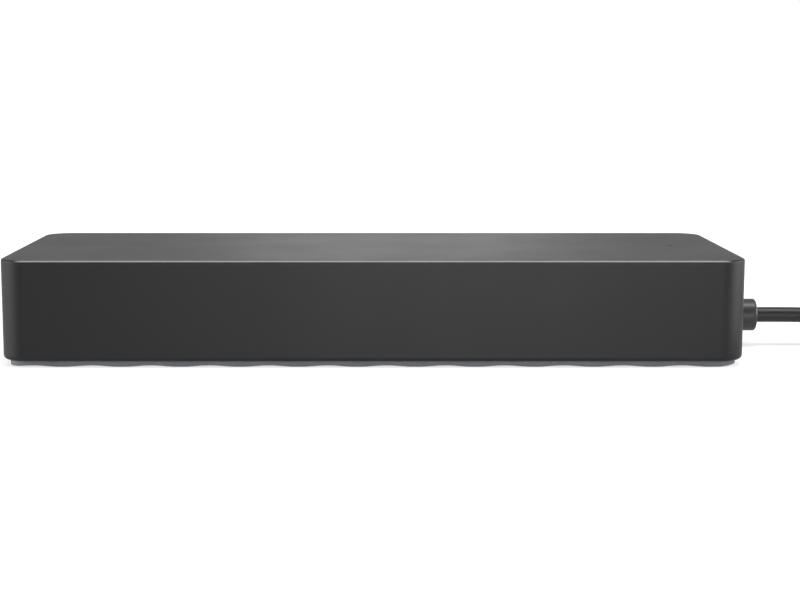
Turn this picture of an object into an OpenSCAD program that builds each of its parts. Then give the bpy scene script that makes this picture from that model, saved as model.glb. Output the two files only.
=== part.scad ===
// Laptop docking station: a slim desk dock with a row of sockets along its rear
// side, a captive lead on its right end and a wavy rubber pad under the base.
// Millimetres, +X towards the lead, +Y towards the sockets, +Z up. The origin is
// the middle of the foot pad's resting plane.

/* [Body] */
// Length of the housing, from end to end
body_w = 132; // [130:1:170]
// Depth of the housing, from the blank side to the socket side
body_d = 48; // [46:1:60]
// Height of the housing, without the foot pad
body_h = 18; // [17.5:0.5:24]
// Radius of the upright corners
corner_r = 4.6; // [2.6:0.1:6]
// Rounding of the top face's edge
top_edge_r = 0.4; // [0.2:0.1:1]
// Rounding of the bottom edge
bottom_edge_r = 0.8; // [0.4:0.05:1]
// Thickness of the side walls
wall_t = 1.8; // [1.5:0.1:2.4]
// Thickness of the top wall
top_t = 1.6; // [1.2:0.1:2]
// Thickness of the inset base plate
cover_t = 1.6; // [1.2:0.1:2]
// Gap all round between the base plate and the housing
cover_gap = 0.12; // [0.05:0.01:0.3]

/* [Foot pad] */
// Thickness of the pad at its thickest
foot_t = 1.1; // [0.9:0.1:2]
// Distance from the housing's side to the pad's edge
foot_inset = 1.2; // [1.1:0.1:4]
// Distance from one wave of the underside to the next
wave_pitch = 10.46; // [6:0.01:16]
// Height of a wave
wave_h = 0.25; // [0.1:0.05:0.6]
// Place of a hollow of the wave, to the right of the middle
wave_start = 2.5; // [0:0.1:5]

/* [Sockets] */
// Gap between one socket and the next
socket_gap = 4.2; // [4.1:0.1:4.4]
// Distance of each socket's mouth inside the rear face
socket_recess = 0.3; // [0:0.1:0.8]
// Sheet thickness of the socket shells
shell_t = 0.3; // [0.2:0.05:0.4]
// Gap between a shell and its window in the housing
window_gap = 0.2; // [0.1:0.05:0.3]
// Depth of the network jack
jack_depth = 18; // [16:0.5:20]

/* [Lead] */
// Diameter of the lead
lead_d = 2.9; // [2.6:0.1:3.2]
// Height of the lead's axis over the housing's bottom
lead_rise = 4.8; // [4.6:0.1:6]
// Diameter of the gland's collar
collar_d = 6.1; // [5.6:0.1:6.4]
// Length of the collar outside the housing
collar_len = 6.7; // [5:0.1:12]
// Rounding of the collar's outer end
collar_edge_r = 0.4; // [0.2:0.1:0.8]

/* [Lamp] */
// Diameter of the lamp window in the top face
lamp_d = 1.1; // [0.9:0.1:1.6]
// Distance of the lamp window from the right end
lamp_inset = 9.7; // [9:0.1:12]

/* [Board] */
// Thickness of the circuit board
board_t = 1.2; // [1:0.1:1.6]
// Radius of the pillars that hold the base plate
pillar_r = 2; // [1.8:0.1:2.2]
// Radius of the cover screws' shanks
screw_r = 0.95; // [0.8:0.05:1]
// Radius of the bosses that the board is screwed to
boss_r = 1.8; // [1.6:0.1:1.9]

/* [Hidden] */
$fn = 48;
eps = 0.01;
running_gap = 0.3; // around a pillar, a boss or a chip
seat_gap = 0.1; // between pieces that are pushed together
bond_gap = 0.02; // between pieces that are moulded together
bore_gap = 0.05; // a screw's play in its radius
screw_play = 0.2; // around a screw that passes through
bore_end = 0.5; // a blind bore's length past its screw
over = 1; // how far a cut runs past the face it opens

// Levels
body_z0 = foot_t;
body_z1 = foot_t + body_h;
ceiling_z = body_z1 - top_t;
cover_z1 = body_z0 + cover_t;
axis_z = (body_z0 + body_z1) / 2;
inner_w = body_w - 2 * wall_t;
inner_d = body_d - 2 * wall_t;
inner_r = max(corner_r - wall_t, 0.6);
mouth_y = body_d / 2 - socket_recess;

// Socket openings: width, height, and each socket's depth
jack_w = 15.4;
jack_h = 12.8;
video_b_w = 16.1;
video_b_h = 4.8;
video_b_cut = 2;
video_b_depth = 13;
video_a_w = 14;
video_a_h = 4.55;
video_a_cut_x = 1.7;
video_a_cut_z = 1.6;
video_a_depth = 12;
type_a_w = 12.5;
type_a_h = 5.12;
type_a_r = 0.4;
type_a_depth = 14;
type_c_w = 8.34;
type_c_h = 2.56;
type_c_depth = 8.5;

// The row of sockets runs along the rear side, centred on the housing
openings = [jack_w, video_b_w, video_a_w, type_a_w, type_a_w, type_c_w, type_c_w];
function shells_to(i) = i == 0 ? 0 : shells_to(i - 1) + openings[i - 1] + 2 * shell_t;
row_w = shells_to(len(openings)) + (len(openings) - 1) * socket_gap;
function socket_x(i) = -row_w / 2 + shells_to(i) + i * socket_gap + openings[i] / 2 + shell_t;
function gap_x(i) = socket_x(i) + openings[i] / 2 + shell_t + socket_gap / 2;
jack_x = socket_x(0);
video_b_x = socket_x(1);
video_a_x = socket_x(2);
type_a_x = [socket_x(3), socket_x(4)];
type_c_x = [socket_x(5), socket_x(6)];

// The board carries the flat sockets on its top face
board_z1 = axis_z - type_a_h / 2 - shell_t;
board_z0 = board_z1 - board_t;
video_a_z = board_z1 + shell_t + video_a_h / 2;
video_b_z = board_z1 + shell_t + video_b_h / 2;
type_c_z = board_z1 + shell_t + type_c_h / 2;

// Pillars stand near the corners and between the middle sockets
pillar_inset = 0.7;
pillar_rib_t = 1.6;
pillar_x = inner_w / 2 - pillar_inset - pillar_r;
pillar_y = inner_d / 2 - pillar_inset - pillar_r;
pillars = [for (x = [-pillar_x, gap_x(2), pillar_x], y = [-pillar_y, pillar_y]) [x, y]];
screw_len = 7;
screw_head_r = 1.8;
screw_head_t = 0.8;
board_half_w = pillar_x - pillar_r - running_gap;
board_half_d = inner_d / 2 - 2 * running_gap;

// Board bosses stand at the front and in the gaps of the socket row
boss_front_y = -inner_d / 2 + 6;
boss_rear_y = mouth_y - 8;
boss_x = board_half_w - 9;
bosses = [
    [-boss_x, boss_front_y], [boss_x, boss_front_y],
    [gap_x(1), boss_rear_y], [gap_x(4), boss_rear_y]
];
board_screw_r = 0.75;
board_screw_len = 5;
board_head_r = 1.5;
board_head_t = 0.9;
sheet_t = 0.3;

// Lamp: the hole's rim inside the top wall, and the lamp on the board that lights the pipe
lamp_at = [body_w / 2 - lamp_inset, 0];
lamp_rim_w = 1.5;
lamp_rim_t = 0.6;
pipe_arm_t = 1.6;
pipe_root_w = 0.7;
pipe_sink = 0.05; // the pipe's end below the top face
led_at = [lamp_at[0], -7];
led_size = [1.6, 0.9, 0.7];
led_gap = 1; // from the board to the pipe's lower end

// Foot pad: the wave's middle level and swing, in parts of its height
wave_mid = 0.45;
wave_swing = 0.55;
wave_steps = 12;
pad_corner_r = max(corner_r - foot_inset, 0.8);

// Network jack: the cavity for the plug, its latch slot and its spring contacts
jack_floor = -4.2;
cavity_w = 11.8;
cavity_h = 6.9;
cavity_depth = 12.5;
latch_w = 6.2;
latch_h = 1.6;
jack_pocket_w = 9.6;
jack_pocket_h = 0.9;
jack_pocket_end = 0.7; // the pocket's length past each end of the wires
jack_contacts = 8;
jack_pitch = 1.02;
jack_wire = 0.35;
jack_wire_len = 8;
jack_wire_rest = 15; // degrees over the floor
jack_root_y = mouth_y - 2.2;
jack_root_z = axis_z + jack_floor - 0.3;
jack_lamp = [2.8, 3, 1.6];
jack_lamp_x = 5.6;
jack_lamp_z = 4.8;

// Video sockets: the plug at the back, and the tongue with its tip inside the mouth
video_back = 4;
video_tip = 1.2;
video_tongue_t = 1;
video_b_tongue_w = 13;
video_a_tongue_w = 10.8;

// Type C sockets: the same
type_c_back = 2.2;
type_c_tip = 1;
type_c_tongue_t = 0.7;
type_c_tongue_w = 6.69;

// Fixed contacts of a row: count, pitch, width, thickness, length, distance inside the mouth
video_b_pins = [10, 1, 0.4, 0.12, 4, 3.7];
video_a_pins = [10, 1, 0.4, 0.12, 3.6, 3.4];
type_c_pins = [12, 0.5, 0.25, 0.08, 3, 1.85];

// Type A sockets: the tongue and its four spring contacts
type_a_back = 3.6;
tongue_a_w = 11.1;
tongue_a_t = 1.84;
tongue_a_len = 8.8;
tongue_a_low = 0.1;
blade_x = [-3.5, -1, 1, 3.5];
blade_w = 1;
blade_t = 0.2;
blade_len = 7;
blade_rest = 5; // degrees below the tongue
blade_slot_h = 0.6;
blade_root_z = 0.32;
blade_root_y = mouth_y - type_a_depth + shell_t + type_a_back + seat_gap;
blade_root_room = 0.3;
blade_tip_room = 0.5;

// Lead: its gland passes through the right end from inside
lead_z = body_z0 + lead_rise;
flange_t = 1.6;
flange_w = 9;
flange_h = 5.6;
exit_x = body_w / 2 + collar_len;
ferrule_room = 2; // from the jacket's end to the flange
ferrule_t = 0.45;
jacket_x = inner_w / 2 - flange_t - ferrule_room;
notch_w = 8;
notch_depth = 7;
header = [4, 11, 3.2];
header_pocket = 1.1;
header_rim = 0.8;
header_floor = 1;
header_x = board_half_w - notch_depth - header[0] - 2;
wire_r = 0.4;
wire_ring = 0.95;
wire_angles = [162, 234, 90, 306, 18]; // round the jacket's end, from front to rear
wire_pitch = 2;

// Route of the free lead: x from the collar's end, y, and z over the table
run_route = [
    [0, 0, lead_z], [5, 0, lead_z], [9.5, 0, lead_z - 0.1], [13, 0.5, 5.3], [16.5, 1.8, 4.1],
    [20, 4, 2.7], [24, 6.8, 2], [28.5, 9.1, 1.9], [33, 10.1, 1.9], [37.5, 10.1, 1.9], [42, 10, 1.9]
];
tail_route = [
    [58.5, -6.5, 8.4], [58.5, -11, 8.45], [58.4, -15.5, 8], [58.2, -19.6, 6.6], [57.2, -23.8, 4.7],
    [54.7, -27.6, 3.2], [50.9, -30.1, 2.7], [46.5, -31, 2.9], [43, -31, 3.4], [40, -31, 3.4]
];
coil_centre = [42, -6.5];
coil_r = 16.5;
coil_turns = 2.25;
coil_z0 = 0.45;
coil_h = lead_d * (coil_turns + 1);
tie_t = 0.4;
tie_gap = 0.05;
tie_w = 3;
tie_angle = 205;

// Plug on the lead's end: it lies on the table and points towards the dock
plug_x = exit_x + 40;
plug_y = -31;
plug_z = 3.4;
grip_len = 18;
grip_w = 11.4;
grip_h = 6.4;
grip_r = 2.6;
relief_len = 6;
relief_root_r = 2.9;
relief_r = 2.2;
plug_w = 8.25;
plug_h = 2.4;
plug_t = 0.25;
plug_out = 6.65;
plug_in = 3;
plug_insert_in = 0.3;
plug_slot = [5.2, 6.9, 1];
plug_pins = 12;
plug_pitch = 0.5;
plug_pin = [3.6, 0.24, 0.1];
plug_pin_in = 1.2;
grip_x = plug_x - relief_len - grip_len;
plug_tip_x = grip_x - plug_out;

// Chips and other parts on the board: place, and size
chip_t = 0.9;
chip_dot_r = 0.35;
chip_dot_in = 1;
chip_dot_depth = 0.1;
can_x = 2;
can_y = -5;
can_size = [32, 19, 2.6];
can_t = 0.2;
pad_t = 0.6;
hub_chip_at = [can_x - 8, can_y];
video_chip_at = [can_x + 8, can_y];
big_chip_w = 9;
network_chip_at = [-36, -5];
network_chip_w = 6;
power_chip_at = [42, -7];
power_chip_w = 5;
memory_at = [[-19, -15], [-11, -17]];
memory_size = [5, 4];
chip_pad_w = 8;
can_pad = [26, 14];
spreader_size = [58, 22, 1];
spreader_r = 2;
transformer_at = [jack_x, mouth_y - jack_depth - 6];
transformer_size = [14, 8, 5.6];
transformer_lift = 0.4;
transformer_legs = 8; // on each side
leg_pitch = 1.6;
leg_size = [0.5, 1.6, 0.8];
inductor_at = [[30, -14], [37, -14], [27, 4], [-28, -14]];
inductor_size = [5, 5, 2.8];
can_cap_at = [[34, 5], [41, 5]];
can_cap_r = 2.1;
can_cap_h = 5.4;
can_cap_base = [4.3, 4.3, 0.8];
crystal_at = [[-27, -5], [22, -17]];
crystal_size = [3.2, 2.5, 0.8];

// Rows of chip capacitors: the first one's place, the step to the next, their count, their size
capacitor_rows = [
    [[-46, -18.5], [3, 0], 7, [1.6, 0.8, 0.8]],
    [[20, 7.6], [-2.6, 0], 6, [1.2, 0.7, 0.6]],
    [[48, -12], [2, 0], 5, [0.8, 1.6, 0.8]]
];

// ---- Shapes that repeat ----

// A rectangle with round corners
module rounded_rect(w, d, r) {
    square([w - 2 * r, d], center = true);
    square([w, d - 2 * r], center = true);
    for (sx = [-1, 1], sy = [-1, 1])
        translate([sx * (w / 2 - r), sy * (d / 2 - r)]) circle(r);
}

// A slot outline with two half-round ends
module stadium(w, h) {
    square([w - h, h], center = true);
    for (s = [-1, 1]) translate([s * (w - h) / 2, 0]) circle(h / 2);
}

// Half of an upright section, from the middle out, with its two edges rounded
module side_profile(reach, z0, z1, low_r, high_r) {
    translate([0, z0 + low_r]) square([reach, z1 - z0 - low_r - high_r]);
    translate([0, z0]) square([reach - low_r, z1 - z0 - high_r]);
    translate([0, z0 + low_r]) square([reach - high_r, z1 - z0 - low_r]);
    translate([reach - low_r, z0 + low_r]) circle(low_r);
    translate([reach - high_r, z1 - high_r]) circle(high_r);
}

module whole_profile(reach, z0, z1, low_r, high_r) {
    side_profile(reach, z0, z1, low_r, high_r);
    mirror([1, 0]) side_profile(reach, z0, z1, low_r, high_r);
}

// A block with round upright corners and rounded top and bottom edges
module rounded_slab(w, d, z0, z1, r, low_r, high_r) {
    turn = [[1, 1, 0], [-1, 1, 90], [-1, -1, 180], [1, -1, 270]];
    for (t = turn)
        translate([t[0] * (w / 2 - r), t[1] * (d / 2 - r), 0]) rotate([0, 0, t[2]])
            rotate_extrude(angle = 90) side_profile(r, z0, z1, low_r, high_r);
    translate([-(w / 2 - r), 0, 0]) rotate([90, 0, 90])
        linear_extrude(w - 2 * r) whole_profile(d / 2, z0, z1, low_r, high_r);
    translate([0, d / 2 - r, 0]) rotate([90, 0, 0])
        linear_extrude(d - 2 * r) whole_profile(w / 2, z0, z1, low_r, high_r);
}

// An outline pushed in from the plane y, away from the rear
module into(x, y, z, depth) {
    translate([x, y, z]) rotate([90, 0, 0]) linear_extrude(depth) children();
}

// An outline pushed along +X from the plane x
module along_x(x, y, z, length) {
    translate([x, y, z]) rotate([90, 0, 90]) linear_extrude(length) children();
}

// A plain block by its middle in plan and its lowest level
module block(at, size, z) {
    translate([at[0] - size[0] / 2, at[1] - size[1] / 2, z]) cube(size);
}

// A round post by its place in plan and its two levels
module post(at, r, z0, z1) {
    translate([at[0], at[1], z0]) cylinder(r = r, h = z1 - z0);
}

// A pan-head screw, head down, with a cross recess
module screw(at, z, r, length, head_r, head_t) {
    recess_len = 1.3 * head_r;
    recess_w = 0.3 * head_r;
    difference() {
        union() {
            post(at, head_r, z - head_t, z);
            post(at, r, z - eps, z + length);
        }
        for (a = [0, 90])
            translate([at[0], at[1], z - head_t]) rotate([0, 0, a])
                cube([recess_len, recess_w, head_t], center = true);
    }
}

// Unit headings and rings of a cord that runs mostly level
function unit(v) = v / norm(v);
function heading(p, i) = unit(p[min(i + 1, len(p) - 1)] - p[max(i - 1, 0)]);
function ring(c, t, r, n) =
    let (s = unit(cross([0, 0, 1], t)), u = cross(t, s))
    [for (k = [0:n - 1]) c + r * (cos(360 * k / n) * s + sin(360 * k / n) * u)];
function quads(m, n) = [
    for (i = [0:m - 2], k = [0:n - 1])
        [i * n + k, (i + 1) * n + k, (i + 1) * n + (k + 1) % n, i * n + (k + 1) % n]
];
function halves(q) = [for (f = q, h = [0, 1]) h == 0 ? [f[0], f[1], f[2]] : [f[0], f[2], f[3]]];

// A round cord swept along its route
module cord(route, r, sides = 8) {
    m = len(route);
    points = [for (i = [0:m - 1]) each ring(route[i], heading(route, i), r, sides)];
    first = [for (k = [0:sides - 1]) k];
    last = [for (k = [0:sides - 1]) m * sides - 1 - k];
    polyhedron(points, concat([first, last], halves(quads(m, sides))));
}

// Outlines of the socket openings, each grown by g all round
module jack_outline(g) {
    square([jack_w + 2 * g, jack_h + 2 * g], center = true);
}

module video_b_outline(g) {
    w = video_b_w / 2 + g;
    h = video_b_h / 2 + g;
    c = video_b_cut + 0.6 * g;
    polygon([[-w, h], [-w, -h], [w - c, -h], [w, -h + c], [w, h]]);
}

module video_a_outline(g) {
    w = video_a_w / 2 + g;
    h = video_a_h / 2 + g;
    cx = video_a_cut_x + 0.5 * g;
    cz = video_a_cut_z + 0.5 * g;
    polygon([[-w, h], [-w, -h + cz], [-w + cx, -h], [w - cx, -h], [w, -h + cz], [w, h]]);
}

module type_a_outline(g) {
    rounded_rect(type_a_w + 2 * g, type_a_h + 2 * g, type_a_r + g);
}

module type_c_outline(g) {
    stadium(type_c_w + 2 * g, type_c_h + 2 * g);
}

// The plastic core of a socket: a plug of its outline at the back, and a flat tongue
module core(x, z, depth, back, tip, w, t) {
    y0 = mouth_y - depth + shell_t;
    y1 = mouth_y - tip;
    union() {
        into(x, y0 + back, z, back) children();
        block([x, (y0 + back / 2 + y1) / 2], [w, y1 - y0 - back / 2, t], z - t / 2);
    }
}

// Rows of fixed contacts on both faces of a tongue
module contact_rows(x, z, pins, tongue_t) {
    size = [pins[2], pins[4], pins[3]];
    for (s = [-1, 1], i = [0:pins[0] - 1])
        block([x + (i - (pins[0] - 1) / 2) * pins[1], mouth_y - pins[5] - size[1] / 2], size,
            z + s * (tongue_t + size[2]) / 2 - size[2] / 2);
}

// ---- Casing ----

module windows() {
    depth = wall_t + 2 * over;
    y = body_d / 2 + over;
    g = shell_t + window_gap;
    into(jack_x, y, axis_z, depth) jack_outline(g);
    into(video_b_x, y, video_b_z, depth) video_b_outline(g);
    into(video_a_x, y, video_a_z, depth) video_a_outline(g);
    for (x = type_a_x) into(x, y, axis_z, depth) type_a_outline(g);
    for (x = type_c_x) into(x, y, type_c_z, depth) type_c_outline(g);
}

module housing() {
    color("#3a3c3e") difference() {
        union() {
            difference() {
                rounded_slab(body_w, body_d, body_z0, body_z1, corner_r, bottom_edge_r, top_edge_r);
                translate([0, 0, body_z0 - over]) linear_extrude(ceiling_z - body_z0 + over)
                    rounded_rect(inner_w, inner_d, inner_r);
            }
            for (p = pillars) {
                post(p, pillar_r, cover_z1, ceiling_z + eps);
                // a rib ties each pillar to the nearest long wall
                block([p[0], sign(p[1]) * (inner_d / 2 - pillar_inset)],
                    [pillar_rib_t, 2 * pillar_inset + 2 * eps, ceiling_z - cover_z1], cover_z1);
            }
            for (b = bosses) post(b, boss_r, board_z1, ceiling_z + eps);
            post(lamp_at, lamp_d / 2 + lamp_rim_w, ceiling_z - lamp_rim_t, ceiling_z + eps);
        }
        windows();
        along_x(inner_w / 2 - over, 0, lead_z, wall_t + 2 * over) circle(collar_d / 2 + bore_gap);
        for (p = pillars) post(p, screw_r, cover_z1 - eps, cover_z1 + screw_len + bore_end);
        for (b = bosses) post(b, board_screw_r, board_z1 - eps, board_z1 + board_screw_len);
        post(lamp_at, lamp_d / 2, ceiling_z - over, body_z1 + over);
    }
}

module bottom_cover() {
    color("#2f3133") difference() {
        translate([0, 0, body_z0]) linear_extrude(cover_t)
            rounded_rect(inner_w - 2 * cover_gap, inner_d - 2 * cover_gap, inner_r - cover_gap);
        for (p = pillars) {
            post(p, screw_r + screw_play, body_z0 - over, cover_z1 + over);
            post(p, screw_head_r + screw_play, body_z0 - over, body_z0 + screw_head_t + bore_gap);
        }
    }
}

module foot_pad() {
    half_w = body_w / 2 - foot_inset;
    steps = ceil(2 * half_w / wave_pitch * wave_steps);
    // the crests are cut flat at the table
    underside = [for (i = [0:steps])
        let (x = -half_w + 2 * half_w * i / steps)
        [x, max(0, wave_h * (wave_mid + wave_swing * cos(360 * (x - wave_start) / wave_pitch)))]];
    color("#4a4c4f") intersection() {
        translate([0, body_d / 2, 0]) rotate([90, 0, 0]) linear_extrude(body_d)
            polygon(concat(underside, [[half_w, foot_t], [-half_w, foot_t]]));
        translate([0, 0, -over]) linear_extrude(foot_t + 2 * over)
            rounded_rect(2 * half_w, body_d - 2 * foot_inset, pad_corner_r);
    }
}

module cover_screws() {
    color("silver")
        for (p = pillars)
            screw(p, body_z0 + screw_head_t, screw_r - bore_gap, screw_len, screw_head_r, screw_head_t);
}

module light_pipe() {
    arm_z = ceiling_z - lamp_rim_t - seat_gap - pipe_arm_t;
    leg_z = board_z1 + led_gap;
    arm_len = lamp_at[1] - led_at[1] + pipe_arm_t;
    color("white") union() {
        post(lamp_at, lamp_d / 2 - bond_gap, arm_z, body_z1 - pipe_sink);
        post(lamp_at, lamp_d / 2 + pipe_root_w, arm_z, arm_z + pipe_arm_t);
        block((lamp_at + led_at) / 2, [pipe_arm_t, arm_len, pipe_arm_t], arm_z);
        block(led_at, [pipe_arm_t, pipe_arm_t, arm_z - leg_z], leg_z);
    }
}

// ---- Board ----

module main_board() {
    lead_notch_x = board_half_w - notch_depth;
    jack_right = jack_x + jack_w / 2 + shell_t + seat_gap;
    jack_front = mouth_y - jack_depth - shell_t - seat_gap;
    color("#1d4a33") difference() {
        block([0, 0], [2 * board_half_w, 2 * board_half_d, board_t], board_z0);
        for (p = pillars) post(p, pillar_r + running_gap, board_z0 - over, board_z1 + over);
        for (b = bosses) post(b, board_screw_r + screw_play, board_z0 - over, board_z1 + over);
        // open corner that the network jack sinks into
        translate([-board_half_w - over, jack_front, board_z0 - over])
            cube([jack_right + board_half_w + over, body_d, board_t + 2 * over]);
        // notch for the lead
        translate([lead_notch_x, -notch_w / 2, board_z0 - over])
            cube([notch_depth + over, notch_w, board_t + 2 * over]);
    }
}

module board_screws() {
    color("silver")
        for (b = bosses)
            screw(b, board_z0, board_screw_r - bore_gap, board_screw_len, board_head_r, board_head_t);
}

module insulating_sheet() {
    color("#20242a") difference() {
        block([0, 0], [2 * board_half_w, inner_d - 4 * running_gap, sheet_t], cover_z1);
        for (p = pillars) post(p, pillar_r + running_gap, cover_z1 - over, cover_z1 + over);
        post([-pillar_x, pillar_y], 2 * pillar_r, cover_z1 - over, cover_z1 + over);
    }
}

module chip(at, w, d) {
    difference() {
        block(at, [w, d, chip_t], board_z1);
        post(at + [chip_dot_in - w / 2, d / 2 - chip_dot_in], chip_dot_r,
            board_z1 + chip_t - chip_dot_depth, board_z1 + chip_t + over);
    }
}

module hub_chip() {
    color("#1a1a1c") chip(hub_chip_at, big_chip_w, big_chip_w);
}

module video_chip() {
    color("#1a1a1c") chip(video_chip_at, big_chip_w, big_chip_w);
}

module network_chip() {
    color("#1a1a1c") chip(network_chip_at, network_chip_w, network_chip_w);
}

module power_chip() {
    color("#1a1a1c") chip(power_chip_at, power_chip_w, power_chip_w);
}

module memory_chips() {
    color("#1a1a1c") for (at = memory_at) chip(at, memory_size[0], memory_size[1]);
}

module shield_can() {
    color("silver") difference() {
        block([can_x, can_y], can_size, board_z1);
        block([can_x, can_y], can_size - [2 * can_t, 2 * can_t, can_t - over], board_z1 - over);
    }
}

module heat_spreader() {
    z = board_z1 + can_size[2] + pad_t;
    color("#b8bcc0") translate([can_x, can_y, z]) linear_extrude(spreader_size[2])
        rounded_rect(spreader_size[0], spreader_size[1], spreader_r);
}

module thermal_pads() {
    inside_h = can_size[2] - can_t - chip_t;
    color("#8aa0b4") {
        for (at = [hub_chip_at, video_chip_at])
            block(at, [chip_pad_w, chip_pad_w, inside_h], board_z1 + chip_t);
        block([can_x, can_y], [can_pad[0], can_pad[1], pad_t], board_z1 + can_size[2]);
    }
}

module network_transformer() {
    body = transformer_size - [0, 0, transformer_lift];
    color("#18181a") union() {
        block(transformer_at, body, board_z1 + transformer_lift);
        for (s = [-1, 1], i = [0:transformer_legs - 1])
            block(transformer_at + [(i - (transformer_legs - 1) / 2) * leg_pitch, s * body[1] / 2],
                leg_size, board_z1);
    }
}

module inductors() {
    color("#4d4a48") for (at = inductor_at) block(at, inductor_size, board_z1);
}

module bulk_capacitors() {
    color("#9a9ca0") for (at = can_cap_at) union() {
        block(at, can_cap_base, board_z1);
        post(at, can_cap_r, board_z1 + can_cap_base[2] - eps, board_z1 + can_cap_h);
    }
}

module chip_capacitors() {
    color("#b59a78") for (row = capacitor_rows, i = [0:row[2] - 1])
        block(row[0] + i * row[1], row[3], board_z1);
}

module crystals() {
    color("silver") for (at = crystal_at) block(at, crystal_size, board_z1);
}

module status_led() {
    color("white") block(led_at, led_size, board_z1);
}

// ---- Network jack ----

module network_jack_shell() {
    color("silver") difference() {
        into(jack_x, mouth_y, axis_z, jack_depth + shell_t) jack_outline(shell_t);
        into(jack_x, mouth_y + over, axis_z, jack_depth + over) jack_outline(0);
    }
}

module network_jack_insert() {
    latch_z = jack_floor + cavity_h;
    pocket_len = jack_wire_len + 2 * jack_pocket_end;
    pocket_y = jack_root_y - jack_wire_len - jack_pocket_end;
    color("#202224") difference() {
        into(jack_x, mouth_y, axis_z, jack_depth) jack_outline(-bond_gap);
        into(jack_x, mouth_y + over, axis_z, cavity_depth + over) {
            translate([-cavity_w / 2, jack_floor]) square([cavity_w, cavity_h]);
            translate([-latch_w / 2, latch_z - eps]) square([latch_w, latch_h]);
        }
        // pocket below the spring contacts
        translate([jack_x - jack_pocket_w / 2, pocket_y, axis_z + jack_floor - jack_pocket_h])
            cube([jack_pocket_w, pocket_len, jack_pocket_h + eps]);
        for (s = [-1, 1])
            translate([jack_x + s * jack_lamp_x, mouth_y, axis_z + jack_lamp_z])
                cube(jack_lamp + [2 * bond_gap, jack_lamp[1], 2 * bond_gap], center = true);
    }
}

module network_jack_contacts() {
    color("gold") for (i = [0:jack_contacts - 1])
        translate([jack_x + (i - (jack_contacts - 1) / 2) * jack_pitch, jack_root_y, jack_root_z])
            rotate([-jack_wire_rest, 0, 0]) translate([-jack_wire / 2, -jack_wire_len, -jack_wire / 2])
                cube([jack_wire, jack_wire_len, jack_wire]);
}

module network_jack_lamps() {
    color("#d8c34a") for (s = [-1, 1])
        translate([jack_x + s * jack_lamp_x, mouth_y - jack_lamp[1] / 2, axis_z + jack_lamp_z])
            cube(jack_lamp, center = true);
}

// ---- Video sockets ----

module video_socket_b_shell() {
    color("silver") difference() {
        into(video_b_x, mouth_y, video_b_z, video_b_depth) video_b_outline(shell_t);
        into(video_b_x, mouth_y + over, video_b_z, video_b_depth + over - shell_t) video_b_outline(0);
    }
}

module video_socket_b_tongue() {
    color("#161718")
        core(video_b_x, video_b_z, video_b_depth, video_back, video_tip, video_b_tongue_w, video_tongue_t)
            video_b_outline(-bond_gap);
}

module video_socket_b_contacts() {
    color("gold") contact_rows(video_b_x, video_b_z, video_b_pins, video_tongue_t);
}

module video_socket_a_shell() {
    color("silver") difference() {
        into(video_a_x, mouth_y, video_a_z, video_a_depth) video_a_outline(shell_t);
        into(video_a_x, mouth_y + over, video_a_z, video_a_depth + over - shell_t) video_a_outline(0);
    }
}

module video_socket_a_tongue() {
    color("#161718")
        core(video_a_x, video_a_z, video_a_depth, video_back, video_tip, video_a_tongue_w, video_tongue_t)
            video_a_outline(-bond_gap);
}

module video_socket_a_contacts() {
    color("gold") contact_rows(video_a_x, video_a_z, video_a_pins, video_tongue_t);
}

// ---- Type A sockets ----

module type_a_shell(x) {
    color("silver") difference() {
        into(x, mouth_y, axis_z, type_a_depth) type_a_outline(shell_t);
        into(x, mouth_y + over, axis_z, type_a_depth + over - shell_t) type_a_outline(0);
    }
}

module type_a_tongue(x) {
    back_y = mouth_y - type_a_depth + shell_t;
    color("#f0f0ec") difference() {
        union() {
            into(x, back_y + type_a_back, axis_z, type_a_back) type_a_outline(-bond_gap);
            translate([x - tongue_a_w / 2, back_y, axis_z + tongue_a_low])
                cube([tongue_a_w, type_a_back + tongue_a_len, tongue_a_t]);
        }
        for (bx = blade_x)
            translate([x + bx, blade_root_y - blade_root_room, axis_z + tongue_a_low - over])
                translate([-blade_w / 2 - seat_gap, 0, 0])
                    cube([blade_w + 2 * seat_gap, blade_len + blade_root_room + blade_tip_room,
                        blade_slot_h + over]);
    }
}

module type_a_contacts(x) {
    color("gold") for (bx = blade_x)
        translate([x + bx, blade_root_y, axis_z + tongue_a_low + blade_root_z])
            rotate([-blade_rest, 0, 0]) translate([-blade_w / 2, 0, -blade_t / 2])
                cube([blade_w, blade_len, blade_t]);
}

// ---- Type C sockets ----

module type_c_shell(x) {
    color("silver") difference() {
        into(x, mouth_y, type_c_z, type_c_depth) type_c_outline(shell_t);
        into(x, mouth_y + over, type_c_z, type_c_depth + over - shell_t) type_c_outline(0);
    }
}

module type_c_tongue(x) {
    color("#161718")
        core(x, type_c_z, type_c_depth, type_c_back, type_c_tip, type_c_tongue_w, type_c_tongue_t)
            type_c_outline(-bond_gap);
}

module type_c_contacts(x) {
    color("gold") contact_rows(x, type_c_z, type_c_pins, type_c_tongue_t);
}

// ---- Lead ----

module lead_gland() {
    bore = lead_d / 2 + bond_gap;
    color("#3d3f41") difference() {
        union() {
            translate([inner_w / 2 - eps, 0, lead_z]) rotate([0, 90, 0]) rotate_extrude() {
                length = exit_x - inner_w / 2 + eps;
                square([collar_d / 2, length - collar_edge_r]);
                square([collar_d / 2 - collar_edge_r, length]);
                translate([collar_d / 2 - collar_edge_r, length - collar_edge_r]) circle(collar_edge_r);
            }
            translate([inner_w / 2 - flange_t, -flange_w / 2, lead_z - flange_h / 2])
                cube([flange_t, flange_w, flange_h]);
        }
        along_x(inner_w / 2 - flange_t - over, 0, lead_z, exit_x) circle(bore);
    }
}

module lead_jacket_end() {
    color("#2b2d2f") along_x(jacket_x, 0, lead_z, exit_x - jacket_x) circle(lead_d / 2);
}

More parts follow.
